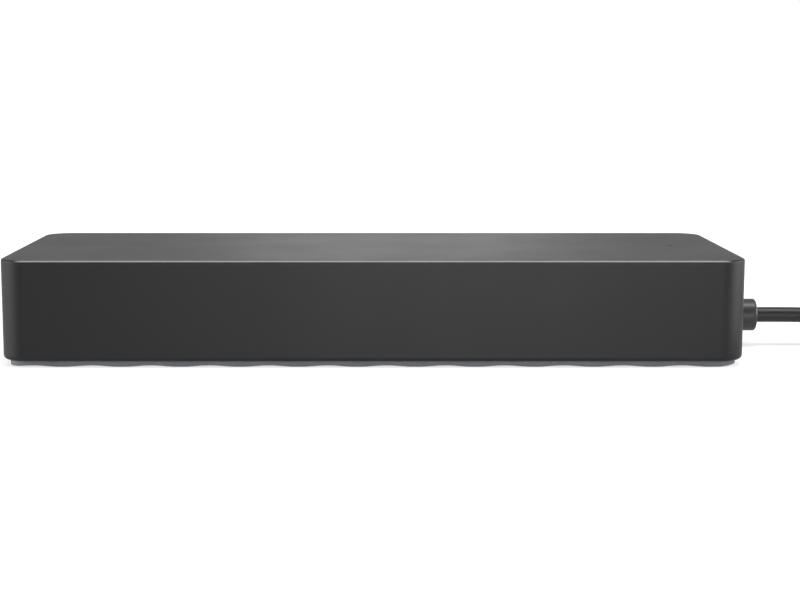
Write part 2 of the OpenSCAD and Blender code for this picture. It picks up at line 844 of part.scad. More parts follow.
module lead_ferrule() {
    color("silver") difference() {
        along_x(jacket_x, 0, lead_z, ferrule_room - seat_gap) circle(lead_d / 2 + bond_gap + ferrule_t);
        along_x(jacket_x - over, 0, lead_z, ferrule_room + 2 * over) circle(lead_d / 2 + bond_gap);
    }
}

module lead_wires() {
    // each wire leaves the jacket straight, eases across and up, and meets the header straight
    length = header_x + header[0] - jacket_x;
    z1 = board_z1 + header[2] / 2;
    steps = 5;
    straight = 0.1;
    color("#a33b32") for (i = [0:len(wire_angles) - 1]) {
        y0 = wire_ring * cos(wire_angles[i]);
        z0 = lead_z + wire_ring * sin(wire_angles[i]);
        y1 = (i - (len(wire_angles) - 1) / 2) * wire_pitch;
        cord(concat(
            [[jacket_x, y0, z0]],
            [for (k = [0:steps]) let (f = k / steps, g = 0.5 - 0.5 * cos(180 * f))
                [jacket_x + (straight + (1 - 2 * straight) * f) * length,
                    y0 + g * (y1 - y0), z0 + g * (z1 - z0)]],
            [[jacket_x + length, y1, z1]]
        ), wire_r);
    }
}

module wire_header() {
    color("#ece8dc") difference() {
        block([header_x + header[0] / 2, 0], header, board_z1);
        block([header_x + (header_pocket - over) / 2, 0],
            [header_pocket + over, header[1] - 2 * header_rim, header[2]], board_z1 + header_floor);
    }
}

module lead_run() {
    color("#2b2d2f") translate([exit_x, 0, 0]) cord(run_route, lead_d / 2);
}

module lead_coil() {
    z1 = coil_z0 + coil_h;
    color("#2b2d2f") translate([exit_x + coil_centre[0], coil_centre[1], 0]) rotate_extrude() {
        translate([coil_r - lead_d / 2, coil_z0 + lead_d / 2]) square([lead_d, coil_h - lead_d]);
        for (z = [coil_z0 + lead_d / 2, z1 - lead_d / 2]) translate([coil_r, z]) circle(lead_d / 2);
    }
}

module lead_tail() {
    color("#2b2d2f") translate([exit_x, 0, 0]) cord(tail_route, lead_d / 2);
}

module lead_tie() {
    hole_w = lead_d + 4 * tie_gap;
    color("#1c1c1e") translate([exit_x + coil_centre[0], coil_centre[1], 0]) rotate([0, 0, tie_angle])
        translate([coil_r, tie_w / 2, coil_z0 + coil_h / 2]) rotate([90, 0, 0]) linear_extrude(tie_w)
            difference() {
                square([hole_w + 2 * tie_t, coil_h + 2 * tie_gap + 2 * tie_t], center = true);
                square([hole_w, coil_h + 2 * tie_gap], center = true);
            }
}

module plug_grip() {
    color("#2b2d2f") difference() {
        union() {
            along_x(grip_x, plug_y, plug_z, grip_len) rounded_rect(grip_w, grip_h, grip_r);
            translate([grip_x + grip_len - eps, plug_y, plug_z]) rotate([0, 90, 0])
                cylinder(r1 = relief_root_r, r2 = relief_r, h = relief_len);
        }
        along_x(grip_x - over, plug_y, plug_z, plug_in + over)
            stadium(plug_w + 2 * bond_gap, plug_h + 2 * bond_gap);
    }
}

module plug_shell() {
    length = plug_out + plug_in;
    color("silver") difference() {
        along_x(plug_tip_x, plug_y, plug_z, length) stadium(plug_w, plug_h);
        along_x(plug_tip_x - over, plug_y, plug_z, length + 2 * over)
            stadium(plug_w - 2 * plug_t, plug_h - 2 * plug_t);
    }
}

module plug_insert() {
    skin = 2 * (plug_t + bond_gap);
    color("#161718") difference() {
        along_x(plug_tip_x + plug_insert_in, plug_y, plug_z, plug_out + plug_in - plug_insert_in)
            stadium(plug_w - skin, plug_h - skin);
        translate([plug_tip_x - over, plug_y - plug_slot[1] / 2, plug_z - plug_slot[2] / 2])
            cube(plug_slot + [over, 0, 0]);
    }
}

module plug_contacts() {
    color("gold") for (s = [-1, 1], i = [0:plug_pins - 1])
        block([plug_tip_x + plug_pin_in + plug_pin[0] / 2,
            plug_y + (i - (plug_pins - 1) / 2) * plug_pitch], plug_pin, plug_z + s * (plug_slot[2] - plug_pin[2]) / 2 - plug_pin[2] / 2);
}

housing();
bottom_cover();
foot_pad();
light_pipe();
status_led();
cover_screws();
board_screws();
main_board();
insulating_sheet();
shield_can();
heat_spreader();
thermal_pads();
hub_chip();
video_chip();
network_chip();
power_chip();
memory_chips();
network_transformer();
inductors();
bulk_capacitors();
chip_capacitors();
crystals();
network_jack_shell();
network_jack_insert();
network_jack_contacts();
network_jack_lamps();
video_socket_b_shell();
video_socket_b_tongue();
video_socket_b_contacts();
video_socket_a_shell();
video_socket_a_tongue();
video_socket_a_contacts();
type_a_shell(type_a_x[0]);  // type_a_socket_1_shell
type_a_tongue(type_a_x[0]);  // type_a_socket_1_tongue
type_a_contacts(type_a_x[0]);  // type_a_socket_1_contacts
type_a_shell(type_a_x[1]);  // type_a_socket_2_shell
type_a_tongue(type_a_x[1]);  // type_a_socket_2_tongue
type_a_contacts(type_a_x[1]);  // type_a_socket_2_contacts
type_c_shell(type_c_x[0]);  // type_c_socket_1_shell
type_c_tongue(type_c_x[0]);  // type_c_socket_1_tongue
type_c_contacts(type_c_x[0]);  // type_c_socket_1_contacts
type_c_shell(type_c_x[1]);  // type_c_socket_2_shell
type_c_tongue(type_c_x[1]);  // type_c_socket_2_tongue
type_c_contacts(type_c_x[1]);  // type_c_socket_2_contacts
lead_gland();
lead_jacket_end();
lead_ferrule();
lead_wires();
wire_header();
lead_run();
lead_coil();
lead_tail();
lead_tie();
plug_grip();
plug_shell();
plug_insert();
plug_contacts();
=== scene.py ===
"""Looks of a laptop docking station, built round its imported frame."""

import math

import bmesh
import bpy
from mathutils import Matrix, Vector


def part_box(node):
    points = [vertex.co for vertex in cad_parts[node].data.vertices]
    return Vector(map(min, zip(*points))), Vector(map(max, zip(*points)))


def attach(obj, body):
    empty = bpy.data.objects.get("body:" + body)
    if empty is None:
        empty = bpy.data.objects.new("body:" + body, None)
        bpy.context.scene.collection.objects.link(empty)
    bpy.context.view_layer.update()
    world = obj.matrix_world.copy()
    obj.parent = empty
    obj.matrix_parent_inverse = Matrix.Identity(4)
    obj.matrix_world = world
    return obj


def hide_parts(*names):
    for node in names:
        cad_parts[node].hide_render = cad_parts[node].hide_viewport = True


bl_info = {
    "name": "Laptop dock",
    "version": (1, 0, 0),
    "blender": (4, 5, 0),
    "location": "View3D > Sidebar > Dock",
    "description": "Builds a docking station with its sockets, lead and plug on a packed frame",
    "category": "Object",
}

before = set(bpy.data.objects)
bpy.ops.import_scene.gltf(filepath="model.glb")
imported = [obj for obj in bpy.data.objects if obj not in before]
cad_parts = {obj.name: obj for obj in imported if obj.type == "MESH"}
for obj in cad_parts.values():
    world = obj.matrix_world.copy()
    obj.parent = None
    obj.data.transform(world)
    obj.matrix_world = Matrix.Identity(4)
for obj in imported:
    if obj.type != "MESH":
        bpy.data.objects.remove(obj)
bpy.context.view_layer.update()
MM = 0.001

# Where the lead leaves the gland, and the route of each free stretch from there.
# The same points as the solids of the part, x from the exit, y, and z over the table.
EXIT = Vector((72.7, 0, 5.9)) * MM
RUN_ROUTE = [
    (0, 0, 5.9), (5, 0, 5.9), (9.5, 0, 5.8), (13, 0.5, 5.3), (16.5, 1.8, 4.1), (20, 4, 2.7),
    (24, 6.8, 2), (28.5, 9.1, 1.9), (33, 10.1, 1.9), (37.5, 10.1, 1.9), (42, 10, 1.9),
]
TAIL_ROUTE = [
    (58.5, -6.5, 8.4), (58.5, -11, 8.45), (58.4, -15.5, 8), (58.2, -19.6, 6.6), (57.2, -23.8, 4.7),
    (54.7, -27.6, 3.2), (50.9, -30.1, 2.7), (46.5, -31, 2.9), (43, -31, 3.4), (40, -31, 3.4),
]
COIL_CENTRE = (42, -6.5)
COIL_RADIUS = 16.5
COIL_TURNS = 2.25
COIL_LOW = 1.9
COIL_RISE = 2.9  # the lead's own thickness, for each turn
STEPS_PER_TURN = 24

# A mix node has sockets for each kind of value: these are the factor and the colours.
MIX_FACTOR, MIX_FIRST, MIX_SECOND, MIXED = 0, 6, 7, 2

# The paper glows less round the dock, and fades to the room's white between these distances.
PAPER_NEAR, PAPER_FAR, PAPER_GLOW = 0.14, 0.36, 0.62

# The room's light changes between these directions, front to rear, and the camera sees plain white.
ROOM_FRONT, ROOM_REAR, SEEN_WHITE = -0.5, 0.6, 1.1


# ---- Sizes, colours and the studio ----


class DockSizes(bpy.types.PropertyGroup):
    corner_radius: bpy.props.FloatProperty(
        name="Corner radius", description="Radius of the housing's upright corners",
        default=4.6 * MM, min=1 * MM, max=6 * MM, unit="LENGTH")
    top_edge: bpy.props.FloatProperty(
        name="Top edge", description="Rounding of the top face's edge",
        default=0.4 * MM, min=0.1 * MM, max=1 * MM, unit="LENGTH")
    bottom_edge: bpy.props.FloatProperty(
        name="Bottom edge", description="Rounding of the housing's bottom edge",
        default=0.8 * MM, min=0.2 * MM, max=1.4 * MM, unit="LENGTH")
    wall: bpy.props.FloatProperty(
        name="Wall", description="Thickness of the housing's side walls",
        default=1.8 * MM, min=1.4 * MM, max=2.4 * MM, unit="LENGTH")
    roof: bpy.props.FloatProperty(
        name="Top wall", description="Thickness of the housing's top wall",
        default=1.6 * MM, min=1 * MM, max=2 * MM, unit="LENGTH")
    window_gap: bpy.props.FloatProperty(
        name="Window gap", description="Gap between a socket's shell and its window",
        default=0.2 * MM, min=0.05 * MM, max=0.3 * MM, unit="LENGTH")
    window_flare: bpy.props.FloatProperty(
        name="Window edge", description="Width of the bevel round each window",
        default=0.22 * MM, min=0.05 * MM, max=0.4 * MM, unit="LENGTH")
    sheet: bpy.props.FloatProperty(
        name="Shell sheet", description="Sheet thickness of the socket shells",
        default=0.3 * MM, min=0.2 * MM, max=0.4 * MM, unit="LENGTH")
    wave_pitch: bpy.props.FloatProperty(
        name="Wave pitch", description="Distance between the waves under the foot pad",
        default=10.46 * MM, min=6 * MM, max=16 * MM, unit="LENGTH")
    wave_height: bpy.props.FloatProperty(
        name="Wave height", description="Height of the waves under the foot pad",
        default=0.25 * MM, min=0.1 * MM, max=0.6 * MM, unit="LENGTH")
    wave_start: bpy.props.FloatProperty(
        name="Wave start", description="Place of a hollow to the right of the middle",
        default=2.5 * MM, min=0, max=5 * MM, unit="LENGTH")
    lead_diameter: bpy.props.FloatProperty(
        name="Lead", description="Diameter of the lead",
        default=2.9 * MM, min=2.5 * MM, max=3.4 * MM, unit="LENGTH")


def colour_property(name, description, colour):
    return bpy.props.FloatVectorProperty(
        name=name, description=description, default=colour, size=3, min=0, max=1, subtype="COLOR")


class DockColours(bpy.types.PropertyGroup):
    housing: colour_property("Housing", "Moulded plastic of the housing", (0.0052, 0.0054, 0.0058))
    # the top rim colour is a painted highlight: pale colour laid along the top face's rounded edge where
    # the light above would glint
    rim: colour_property("Top rim", "Buffed edge of the top face", (0.21, 0.212, 0.216))
    pad: colour_property("Foot pad", "Rubber of the foot pad", (0.056, 0.058, 0.063))
    gland: colour_property(
        "Gland", "Soft plastic of the gland and the plug's grip", (0.0135, 0.0138, 0.0146))
    jacket: colour_property("Lead", "Jacket of the lead", (0.007, 0.0072, 0.0077))
    tie: colour_property("Tie", "Woven tie of the stored lead", (0.020, 0.020, 0.022))
    steel: colour_property("Socket shells", "Plated sheet of the socket shells", (0.62, 0.61, 0.585))
    gold: colour_property("Contacts", "Gold of the contacts", (0.86, 0.60, 0.24))
    insert: colour_property("Inserts", "Black plastic inside the sockets", (0.012, 0.012, 0.013))
    tongue: colour_property("Flat tongues", "Tongues of the flat sockets", (0.74, 0.74, 0.70))
    board: colour_property("Board", "Coating of the circuit board", (0.010, 0.060, 0.032))


class StudioSettings(bpy.types.PropertyGroup):
    distance: bpy.props.FloatProperty(
        name="Camera distance", description="How far the camera stands in front of the middle",
        default=0.3042, min=0.1, max=2, unit="LENGTH")
    height: bpy.props.FloatProperty(
        name="Camera height", description="Height of the camera over the table",
        default=0.0528, min=0.01, max=1, unit="LENGTH")
    pitch: bpy.props.FloatProperty(
        name="Camera pitch", description="How far the camera looks down",
        default=math.radians(8.25), min=0, max=math.radians(90), subtype="ANGLE")
    lens: bpy.props.FloatProperty(
        name="Lens", description="Focal length in millimetres",
        default=72.65, min=20, max=200)
    shift: bpy.props.FloatProperty(
        name="Shift", description="Sideways shift of the frame",
        default=0.034, min=-0.1, max=0.1)
    room_back: bpy.props.FloatProperty(
        name="Room behind", description="Brightness of the white room behind the dock",
        default=0.82, min=0, max=4)
    room_front: bpy.props.FloatProperty(
        name="Room in front", description="Brightness of the white room in front of the dock",
        default=0.08, min=0, max=4)


# ---- Finishes ----


class Finish:
    """One procedural surface: a Principled shader and the textures that feed it."""

    def __init__(self, name, colour, roughness, **sockets):
        self.material = bpy.data.materials.new(name)
        self.material.use_nodes = True
        self.tree = self.material.node_tree
        self.shader = self.tree.nodes["Principled BSDF"]
        self.colour = tuple(colour)
        self.material.diffuse_color = (*self.colour, 1)
        self.shader.inputs["Base Color"].default_value = (*self.colour, 1)
        self.shader.inputs["Roughness"].default_value = roughness
        for socket, value in sockets.items():
            self.shader.inputs[socket.replace("_", " ")].default_value = value
        self.place = self.tree.nodes.new("ShaderNodeTexCoord").outputs["Object"]
        self.normal = None

    def feed(self, socket, value):
        """Links an output to a socket, or sets a plain number on it."""
        if isinstance(value, bpy.types.NodeSocket):
            self.tree.links.new(value, socket)
        else:
            socket.default_value = value

    def node(self, kind, inputs=(), **settings):
        made = self.tree.nodes.new(kind)
        for name, value in settings.items():
            setattr(made, name, value)
        for key, value in dict(inputs).items():
            self.feed(made.inputs[key], value)
        return made

    def mapped(self, size, stretch=(1, 1, 1), turn=(0, 0, 0)):
        """Object coordinates in units of `size` metres, drawn out along an axis where stretch > 1."""
        scale = tuple(1 / (size * s) for s in stretch)
        return self.node(
            "ShaderNodeMapping", {"Vector": self.place, "Scale": scale, "Rotation": turn}).outputs["Vector"]

    def noise(self, size, stretch=(1, 1, 1), detail=3.0, distortion=0.0):
        return self.node("ShaderNodeTexNoise", {
            "Vector": self.mapped(size, stretch), "Scale": 1.0, "Detail": detail,
            "Roughness": 0.55, "Distortion": distortion}).outputs["Fac"]

    def cells(self, size, stretch=(1, 1, 1)):
        return self.node("ShaderNodeTexVoronoi", {
            "Vector": self.mapped(size, stretch), "Scale": 1.0}, feature="F1").outputs["Distance"]

    def wave(self, size, direction, distortion=0.0, turn=(0, 0, 0)):
        return self.node("ShaderNodeTexWave", {
            "Vector": self.mapped(size, turn=turn), "Scale": 1.0, "Distortion": distortion},
            bands_direction=direction, wave_profile="SIN").outputs["Fac"]

    def spread(self, value, low=0.35, high=0.65, to_low=0.0, to_high=1.0):
        return self.node("ShaderNodeMapRange", {
            "Value": value, "From Min": low, "From Max": high, "To Min": to_low, "To Max": to_high,
        }).outputs["Result"]

    def maths(self, operation, a, b=0.0):
        made = self.node("ShaderNodeMath", operation=operation)
        self.feed(made.inputs[0], a)
        self.feed(made.inputs[1], b)
        return made.outputs["Value"]

    def times(self, a, b):
        return self.maths("MULTIPLY", a, b)

    def average(self, a, b):
        return self.times(self.maths("ADD", a, b), 0.5)

    def axis(self, which):
        """One object coordinate, in metres."""
        return self.node("ShaderNodeSeparateXYZ", {"Vector": self.place}).outputs[which]

    def paint(self, value, first, second):
        """Colour between first and second, by a texture."""
        mix = self.node("ShaderNodeMix", {MIX_FACTOR: value}, data_type="RGBA")
        for which, colour in ((MIX_FIRST, first), (MIX_SECOND, second)):
            linked = isinstance(colour, bpy.types.NodeSocket)
            self.feed(mix.inputs[which], colour if linked else (*colour, 1))
        self.feed(self.shader.inputs["Base Color"], mix.outputs[MIXED])
        return mix.outputs[MIXED]

    def mottle(self, value, dark=0.9, light=1.1):
        """The surface's own colour, a little darker and lighter from place to place."""
        return self.paint(
            value, [min(c * dark, 1) for c in self.colour], [min(c * light, 1) for c in self.colour])

    def rough(self, value, low, high):
        self.feed(self.shader.inputs["Roughness"], self.spread(value, to_low=low, to_high=high))

    def bump(self, height, depth, strength=1.0):
        """Relief `depth` metres deep, on top of any laid before it."""
        inputs = {"Height": height, "Distance": depth, "Strength": strength}
        if self.normal is not None:
            inputs["Normal"] = self.normal
        self.normal = self.node("ShaderNodeBump", inputs).outputs["Normal"]
        self.feed(self.shader.inputs["Normal"], self.normal)


def near_sides(surface, low, high, axes, reach, stop=0.0):
    """For each axis, 0 inside a box and 1 at its two sides; stop is how far short of them 1 starts."""
    sides = []
    for which, axis in enumerate(axes):
        middle, half = (low[which] + high[which]) / 2, (high[which] - low[which]) / 2
        away = surface.maths("ABSOLUTE", surface.maths("SUBTRACT", surface.axis(axis), middle))
        sides.append(surface.spread(away, half - reach, half - stop))
    return sides


def near_edges(surface, low, high, reach):
    """1 along the straight edges of a box and 0 away from them, from object coordinates."""
    sides = near_sides(surface, low, high, "XYZ", reach)
    pairs = [surface.times(sides[a], sides[b]) for a, b in ((0, 1), (0, 2), (1, 2))]
    return surface.maths("MAXIMUM", pairs[0], surface.maths("MAXIMUM", pairs[1], pairs[2]))


def rim_highlight_mask(surface, low, high, reach):
    """1 along the rounded edge of the top face, where a pale painted highlight is laid, and 0 elsewhere."""
    across = near_sides(surface, low, high, "XY", reach, reach / 4)
    up = surface.spread(surface.axis("Z"), high.z - reach, high.z - reach / 4)
    return surface.times(up, surface.maths("MAXIMUM", *across))


def moulded_plastic(name, colour, roughness, grain=0.16 * MM):
    surface = Finish(name, colour, roughness, IOR=1.4)
    fine = surface.noise(grain, detail=4)
    cloud = surface.noise(14 * MM, detail=3)
    surface.mottle(surface.average(fine, cloud), 0.88, 1.14)
    surface.rough(cloud, roughness - 0.03, roughness + 0.035)
    surface.bump(surface.noise(5 * MM, detail=2), 0.006 * MM, 0.5)
    surface.bump(fine, 0.0035 * MM)
    return surface


def housing_plastic(colours):
    surface = Finish("housing_plastic", colours.housing, 0.46, IOR=1.25)
    low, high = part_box("housing")
    grain = surface.noise(0.16 * MM, detail=4)
    pits = surface.cells(0.3 * MM)
    cloud = surface.noise(16 * MM, detail=3)
    flow = surface.noise(9 * MM, stretch=(4, 1, 1), detail=2)
    tone = surface.mottle(surface.average(grain, flow), 0.9, 1.12)
    # edges that hands rub are a shade lighter and smoother
    rubbed = surface.times(near_edges(surface, low, high, 0.9 * MM),
                           surface.spread(surface.noise(2.2 * MM, detail=5), 0.4, 0.62))
    tone = surface.paint(surface.times(rubbed, 0.5), tone, [c * 1.7 for c in colours.housing])
    # painted highlight: the top face's rounded edge is painted in the pale rim colour
    surface.paint(rim_highlight_mask(surface, low, high, 0.34 * MM), tone, colours.rim)
    satin = surface.spread(cloud, 0.3, 0.7, 0.445, 0.48)
    surface.feed(surface.shader.inputs["Roughness"],
                 surface.maths("SUBTRACT", satin, surface.times(rubbed, 0.06)))
    surface.bump(surface.noise(7 * MM, detail=2), 0.004 * MM, 0.4)
    surface.bump(pits, 0.002 * MM, 0.7)
    surface.bump(grain, 0.003 * MM)
    return surface


def foot_rubber(colours):
    surface = Finish("foot_rubber", colours.pad, 0.78, Sheen_Weight=0.05)
    fine = surface.noise(0.12 * MM, detail=4)
    dust = surface.spread(surface.noise(0.5 * MM, detail=6), 0.62, 0.7)
    tone = surface.mottle(fine, 0.86, 1.14)
    surface.paint(surface.times(dust, 0.25), tone, (0.2, 0.195, 0.185))
    surface.rough(surface.noise(4 * MM), 0.7, 0.84)
    surface.bump(fine, 0.008 * MM)
    return surface


def clear_plastic(colours):
    surface = Finish("clear_plastic", (0.011, 0.0115, 0.012), 0.3,
                     Transmission_Weight=0.1, Specular_IOR_Level=0.05)
    cloud = surface.noise(0.6 * MM, detail=4)
    surface.mottle(cloud, 0.85, 1.12)
    surface.rough(cloud, 0.16, 0.3)
    surface.bump(surface.noise(0.2 * MM), 0.003 * MM)
    return surface


def plated_steel(name, colour, low=0.22, high=0.34, along=(1, 14, 1), streak=0.12 * MM):
    """Plated sheet with drawing marks along it, faint stains and rubbed spots."""
    surface = Finish(name, colour, 0.28, Metallic=1.0)
    streaks = surface.noise(streak, stretch=along, detail=4)
    stains = surface.noise(2.4 * MM, detail=5, distortion=0.6)
    tone = surface.mottle(streaks, 0.9, 1.08)
    surface.paint(surface.spread(stains, 0.52, 0.72, 0.0, 0.35), tone, (0.5, 0.465, 0.41))
    surface.rough(surface.average(streaks, stains), low, high)
    surface.bump(streaks, 0.0025 * MM)
    surface.bump(stains, 0.006 * MM, 0.4)
    return surface


def contact_gold(colours):
    surface = Finish("contact_gold", colours.gold, 0.24, Metallic=1.0)
    wipe = surface.noise(0.09 * MM, stretch=(1, 10, 1), detail=4)
    worn = surface.spread(surface.noise(0.5 * MM, detail=5), 0.58, 0.7)
    tone = surface.mottle(wipe, 0.88, 1.1)
    surface.paint(surface.times(worn, 0.4), tone, (0.72, 0.62, 0.46))
    surface.rough(wipe, 0.17, 0.32)
    surface.bump(wipe, 0.0015 * MM)
    return surface


def insert_plastic(colours):
    """Glass-filled moulding: short pale streaks under a satin skin."""
    surface = Finish("insert_plastic", colours.insert, 0.42)
    fibres = surface.noise(0.07 * MM, stretch=(1, 6, 1), detail=3)
    cloud = surface.noise(1.8 * MM, detail=4)
    tone = surface.mottle(cloud, 0.86, 1.12)
    surface.paint(surface.spread(fibres, 0.6, 0.75, 0.0, 0.3), tone, [c + 0.03 for c in colours.insert])
    surface.rough(cloud, 0.36, 0.48)
    surface.bump(fibres, 0.002 * MM)
    return surface


def lead_jacket(colours):
    surface = Finish("lead_jacket", colours.jacket, 0.42, IOR=1.36)
    fine = surface.noise(0.1 * MM, detail=4)
    cloud = surface.noise(6 * MM, detail=4)
    surface.mottle(surface.average(fine, cloud), 0.86, 1.16)
    surface.rough(cloud, 0.38, 0.46)
    surface.bump(surface.noise(1.1 * MM, detail=2), 0.012 * MM, 0.6)
    surface.bump(fine, 0.004 * MM)
    return surface


def tie_fabric(colours):
    """A woven tape: crossed ribs with loose fibres over them."""
    surface = Finish("tie_fabric", colours.tie, 0.85, Sheen_Weight=0.35, Sheen_Roughness=0.4)
    warp = surface.wave(0.9 * MM, "Z")
    weft = surface.wave(1.1 * MM, "X", turn=(0, 0, 0.5))
    weave = surface.times(warp, weft)
    fuzz = surface.noise(0.12 * MM, detail=6)
    tone = surface.mottle(weave, 0.6, 1.5)
    surface.paint(surface.spread(fuzz, 0.58, 0.72, 0.0, 0.4), tone, (0.07, 0.07, 0.073))
    surface.rough(fuzz, 0.78, 0.92)
    surface.bump(weave, 0.06 * MM)
    surface.bump(fuzz, 0.02 * MM)
    return surface


def board_laminate(colours):
    """Coated laminate: traces show as raised lines, with tinned spots where layers meet."""
    surface = Finish("board_laminate", colours.board, 0.3, Coat_Weight=0.2, Coat_Roughness=0.2)
    traces = surface.maths("MAXIMUM",
                           surface.spread(surface.wave(3.2 * MM, "X", 1.2), 0.86, 0.93),
                           surface.spread(surface.wave(4.1 * MM, "Y", 1.6), 0.88, 0.94))
    spots = surface.spread(surface.cells(2.3 * MM, stretch=(1, 1, 20)), 0.11, 0.15, 1.0, 0.0)
    weave = surface.noise(0.25 * MM, detail=3)
    tone = surface.mottle(weave, 0.85, 1.1)
    lined = surface.paint(surface.times(traces, 0.7), tone, [c * 1.9 for c in colours.board])
    surface.paint(spots, lined, (0.62, 0.6, 0.56))
    surface.feed(surface.shader.inputs["Metallic"], spots)
    surface.rough(weave, 0.26, 0.36)
    surface.bump(traces, 0.03 * MM)
    surface.bump(weave, 0.004 * MM)
    return surface


def insulating_film(colours):
    surface = Finish("film_black", (0.016, 0.018, 0.022), 0.3, Coat_Weight=0.15)
    ripple = surface.noise(9 * MM, detail=3)
    surface.mottle(surface.noise(0.3 * MM, detail=4), 0.85, 1.15)
    surface.rough(ripple, 0.24, 0.4)
    surface.bump(ripple, 0.05 * MM, 0.6)
    return surface


def brushed_aluminium(name, colour=(0.71, 0.72, 0.73)):
    surface = Finish(name, colour, 0.34, Metallic=1.0)
    brushed = surface.noise(0.08 * MM, stretch=(30, 1, 1), detail=4)
    surface.mottle(brushed, 0.88, 1.06)
    surface.rough(brushed, 0.26, 0.42)
    surface.bump(brushed, 0.003 * MM)
    return surface


def thermal_silicone(colours):
    surface = Finish("thermal_silicone", (0.24, 0.34, 0.43), 0.7, Subsurface_Weight=0.05)
    cloud = surface.noise(1.2 * MM, detail=5)
    surface.mottle(cloud, 0.88, 1.1)
    surface.rough(cloud, 0.62, 0.78)
    surface.bump(surface.cells(0.4 * MM), 0.02 * MM)
    return surface


def dark_resin(name, colour, roughness):
    """Moulded resin of a chip or a winding: fine ejector grain with dusty flecks."""
    surface = Finish(name, colour, roughness)
    grain = surface.noise(0.06 * MM, detail=4)
    tone = surface.mottle(grain, 0.82, 1.2)
    flecks = surface.spread(surface.noise(0.3 * MM, detail=6), 0.66, 0.72)
    surface.paint(surface.times(flecks, 0.3), tone, (0.12, 0.12, 0.12))
    surface.rough(grain, roughness - 0.05, roughness + 0.06)
    surface.bump(grain, 0.004 * MM)
    return surface


def ceramic(colours):
    """The tan body of the chip capacitors, with a fine grain."""
    surface = Finish("capacitor_ceramic", (0.36, 0.25, 0.15), 0.45)
    grain = surface.noise(0.08 * MM, detail=4)
    surface.mottle(grain, 0.85, 1.15)
    surface.rough(grain, 0.38, 0.52)
    surface.bump(grain, 0.003 * MM)
    return surface


def tinted_lamp(name, colour):
    surface = Finish(name, colour, 0.25, Transmission_Weight=0.3, IOR=1.5)
    cloud = surface.noise(0.5 * MM, detail=4)
    surface.mottle(cloud, 0.88, 1.1)
    surface.rough(cloud, 0.2, 0.34)
    surface.bump(surface.wave(0.5 * MM, "X"), 0.01 * MM, 0.5)
    return surface


def pale_nylon(name, colour):
    surface = Finish(name, colour, 0.4, Subsurface_Weight=0.08, Subsurface_Scale=0.3 * MM)
    cloud = surface.noise(1.5 * MM, detail=4)
    fine = surface.noise(0.08 * MM, detail=3)
    surface.mottle(surface.average(cloud, fine), 0.9, 1.06)
    surface.rough(cloud, 0.34, 0.48)
    surface.bump(fine, 0.003 * MM)
    return surface


def wire_insulation(colours):
    """Thin insulation, a colour for each wire from front to rear."""
    surface = Finish("wire_insulation", (0.35, 0.03, 0.025), 0.4)
    across = surface.spread(surface.axis("Y"), -5 * MM, 5 * MM)
    ramp = surface.node("ShaderNodeValToRGB", {"Fac": across})
    ramp.color_ramp.interpolation = "CONSTANT"
    bands = [(0.0, (0.4, 0.03, 0.02)), (0.2, (0.02, 0.02, 0.02)), (0.4, (0.7, 0.7, 0.66)),
             (0.6, (0.03, 0.22, 0.07)), (0.8, (0.04, 0.08, 0.4))]
    ramp.color_ramp.elements.remove(ramp.color_ramp.elements[1])
    for k, (place, colour) in enumerate(bands):
        element = ramp.color_ramp.elements[0] if k == 0 else ramp.color_ramp.elements.new(place)
        element.color = (*colour, 1)
    grain = surface.noise(0.1 * MM, detail=3)
    surface.paint(surface.spread(grain, 0.4, 0.7, 0.0, 0.12), ramp.outputs["Color"], (0.8, 0.8, 0.8))
    surface.rough(grain, 0.34, 0.48)
    surface.bump(grain, 0.003 * MM)
    return surface


# Each finish is given the user's colours, and one that doesn't use them has its own.
FINISHES = {
    "housing_plastic": housing_plastic,
    "cover_plastic": lambda c: moulded_plastic("cover_plastic", [0.8 * v for v in c.housing], 0.52),
    "foot_rubber": foot_rubber,
    "clear_plastic": clear_plastic,
    "lamp_white": lambda c: tinted_lamp("lamp_white", (0.82, 0.8, 0.62)),
    "screw_steel": lambda c: plated_steel("screw_steel", (0.5, 0.5, 0.49), 0.3, 0.45, (6, 6, 1), 0.1 * MM),
    "board_laminate": board_laminate,
    "film_black": insulating_film,
    "tinned_steel": lambda c: plated_steel(
        "tinned_steel", (0.66, 0.66, 0.64), 0.3, 0.46, (8, 1, 1), 0.15 * MM),
    "spreader_aluminium": lambda c: brushed_aluminium("spreader_aluminium"),
    "thermal_silicone": thermal_silicone,
    "chip_resin": lambda c: dark_resin("chip_resin", (0.014, 0.014, 0.015), 0.5),
    "transformer_resin": lambda c: dark_resin("transformer_resin", (0.018, 0.018, 0.019), 0.4),
    "ferrite": lambda c: dark_resin("ferrite", (0.07, 0.066, 0.062), 0.6),
    "capacitor_aluminium": lambda c: brushed_aluminium("capacitor_aluminium", (0.6, 0.61, 0.63)),
    "capacitor_ceramic": ceramic,
    "socket_steel": lambda c: plated_steel("socket_steel", c.steel),
    "insert_plastic": insert_plastic,
    "tongue_plastic": lambda c: pale_nylon("tongue_plastic", c.tongue),
    "contact_gold": contact_gold,
    "lamp_amber": lambda c: tinted_lamp("lamp_amber", (0.62, 0.5, 0.16)),
    "gland_plastic": lambda c: moulded_plastic("gland_plastic", c.gland, 0.42, 0.12 * MM),
    "lead_jacket": lead_jacket,
    "wire_insulation": wire_insulation,
    "header_plastic": lambda c: pale_nylon("header_plastic", (0.78, 0.74, 0.62)),
    "tie_fabric": tie_fabric,
    "plug_steel": lambda c: plated_steel(
        "plug_steel", (0.66, 0.65, 0.63), 0.16, 0.28, (16, 1, 1), 0.1 * MM),
}
made_finishes = {}


def finish(slot):
    if slot not in made_finishes:
        made_finishes[slot] = FINISHES[slot](bpy.context.scene.dock_colours).material
    return made_finishes[slot]


# ---- Shapes that repeat ----


def ease(bm, geom, width, segments, affect="EDGES"):
    """Rounds edges or corners by a bevel."""
    bmesh.ops.bevel(bm, geom=geom, offset=width, affect=affect, segments=segments,
                    profile=0.5, material=-1)


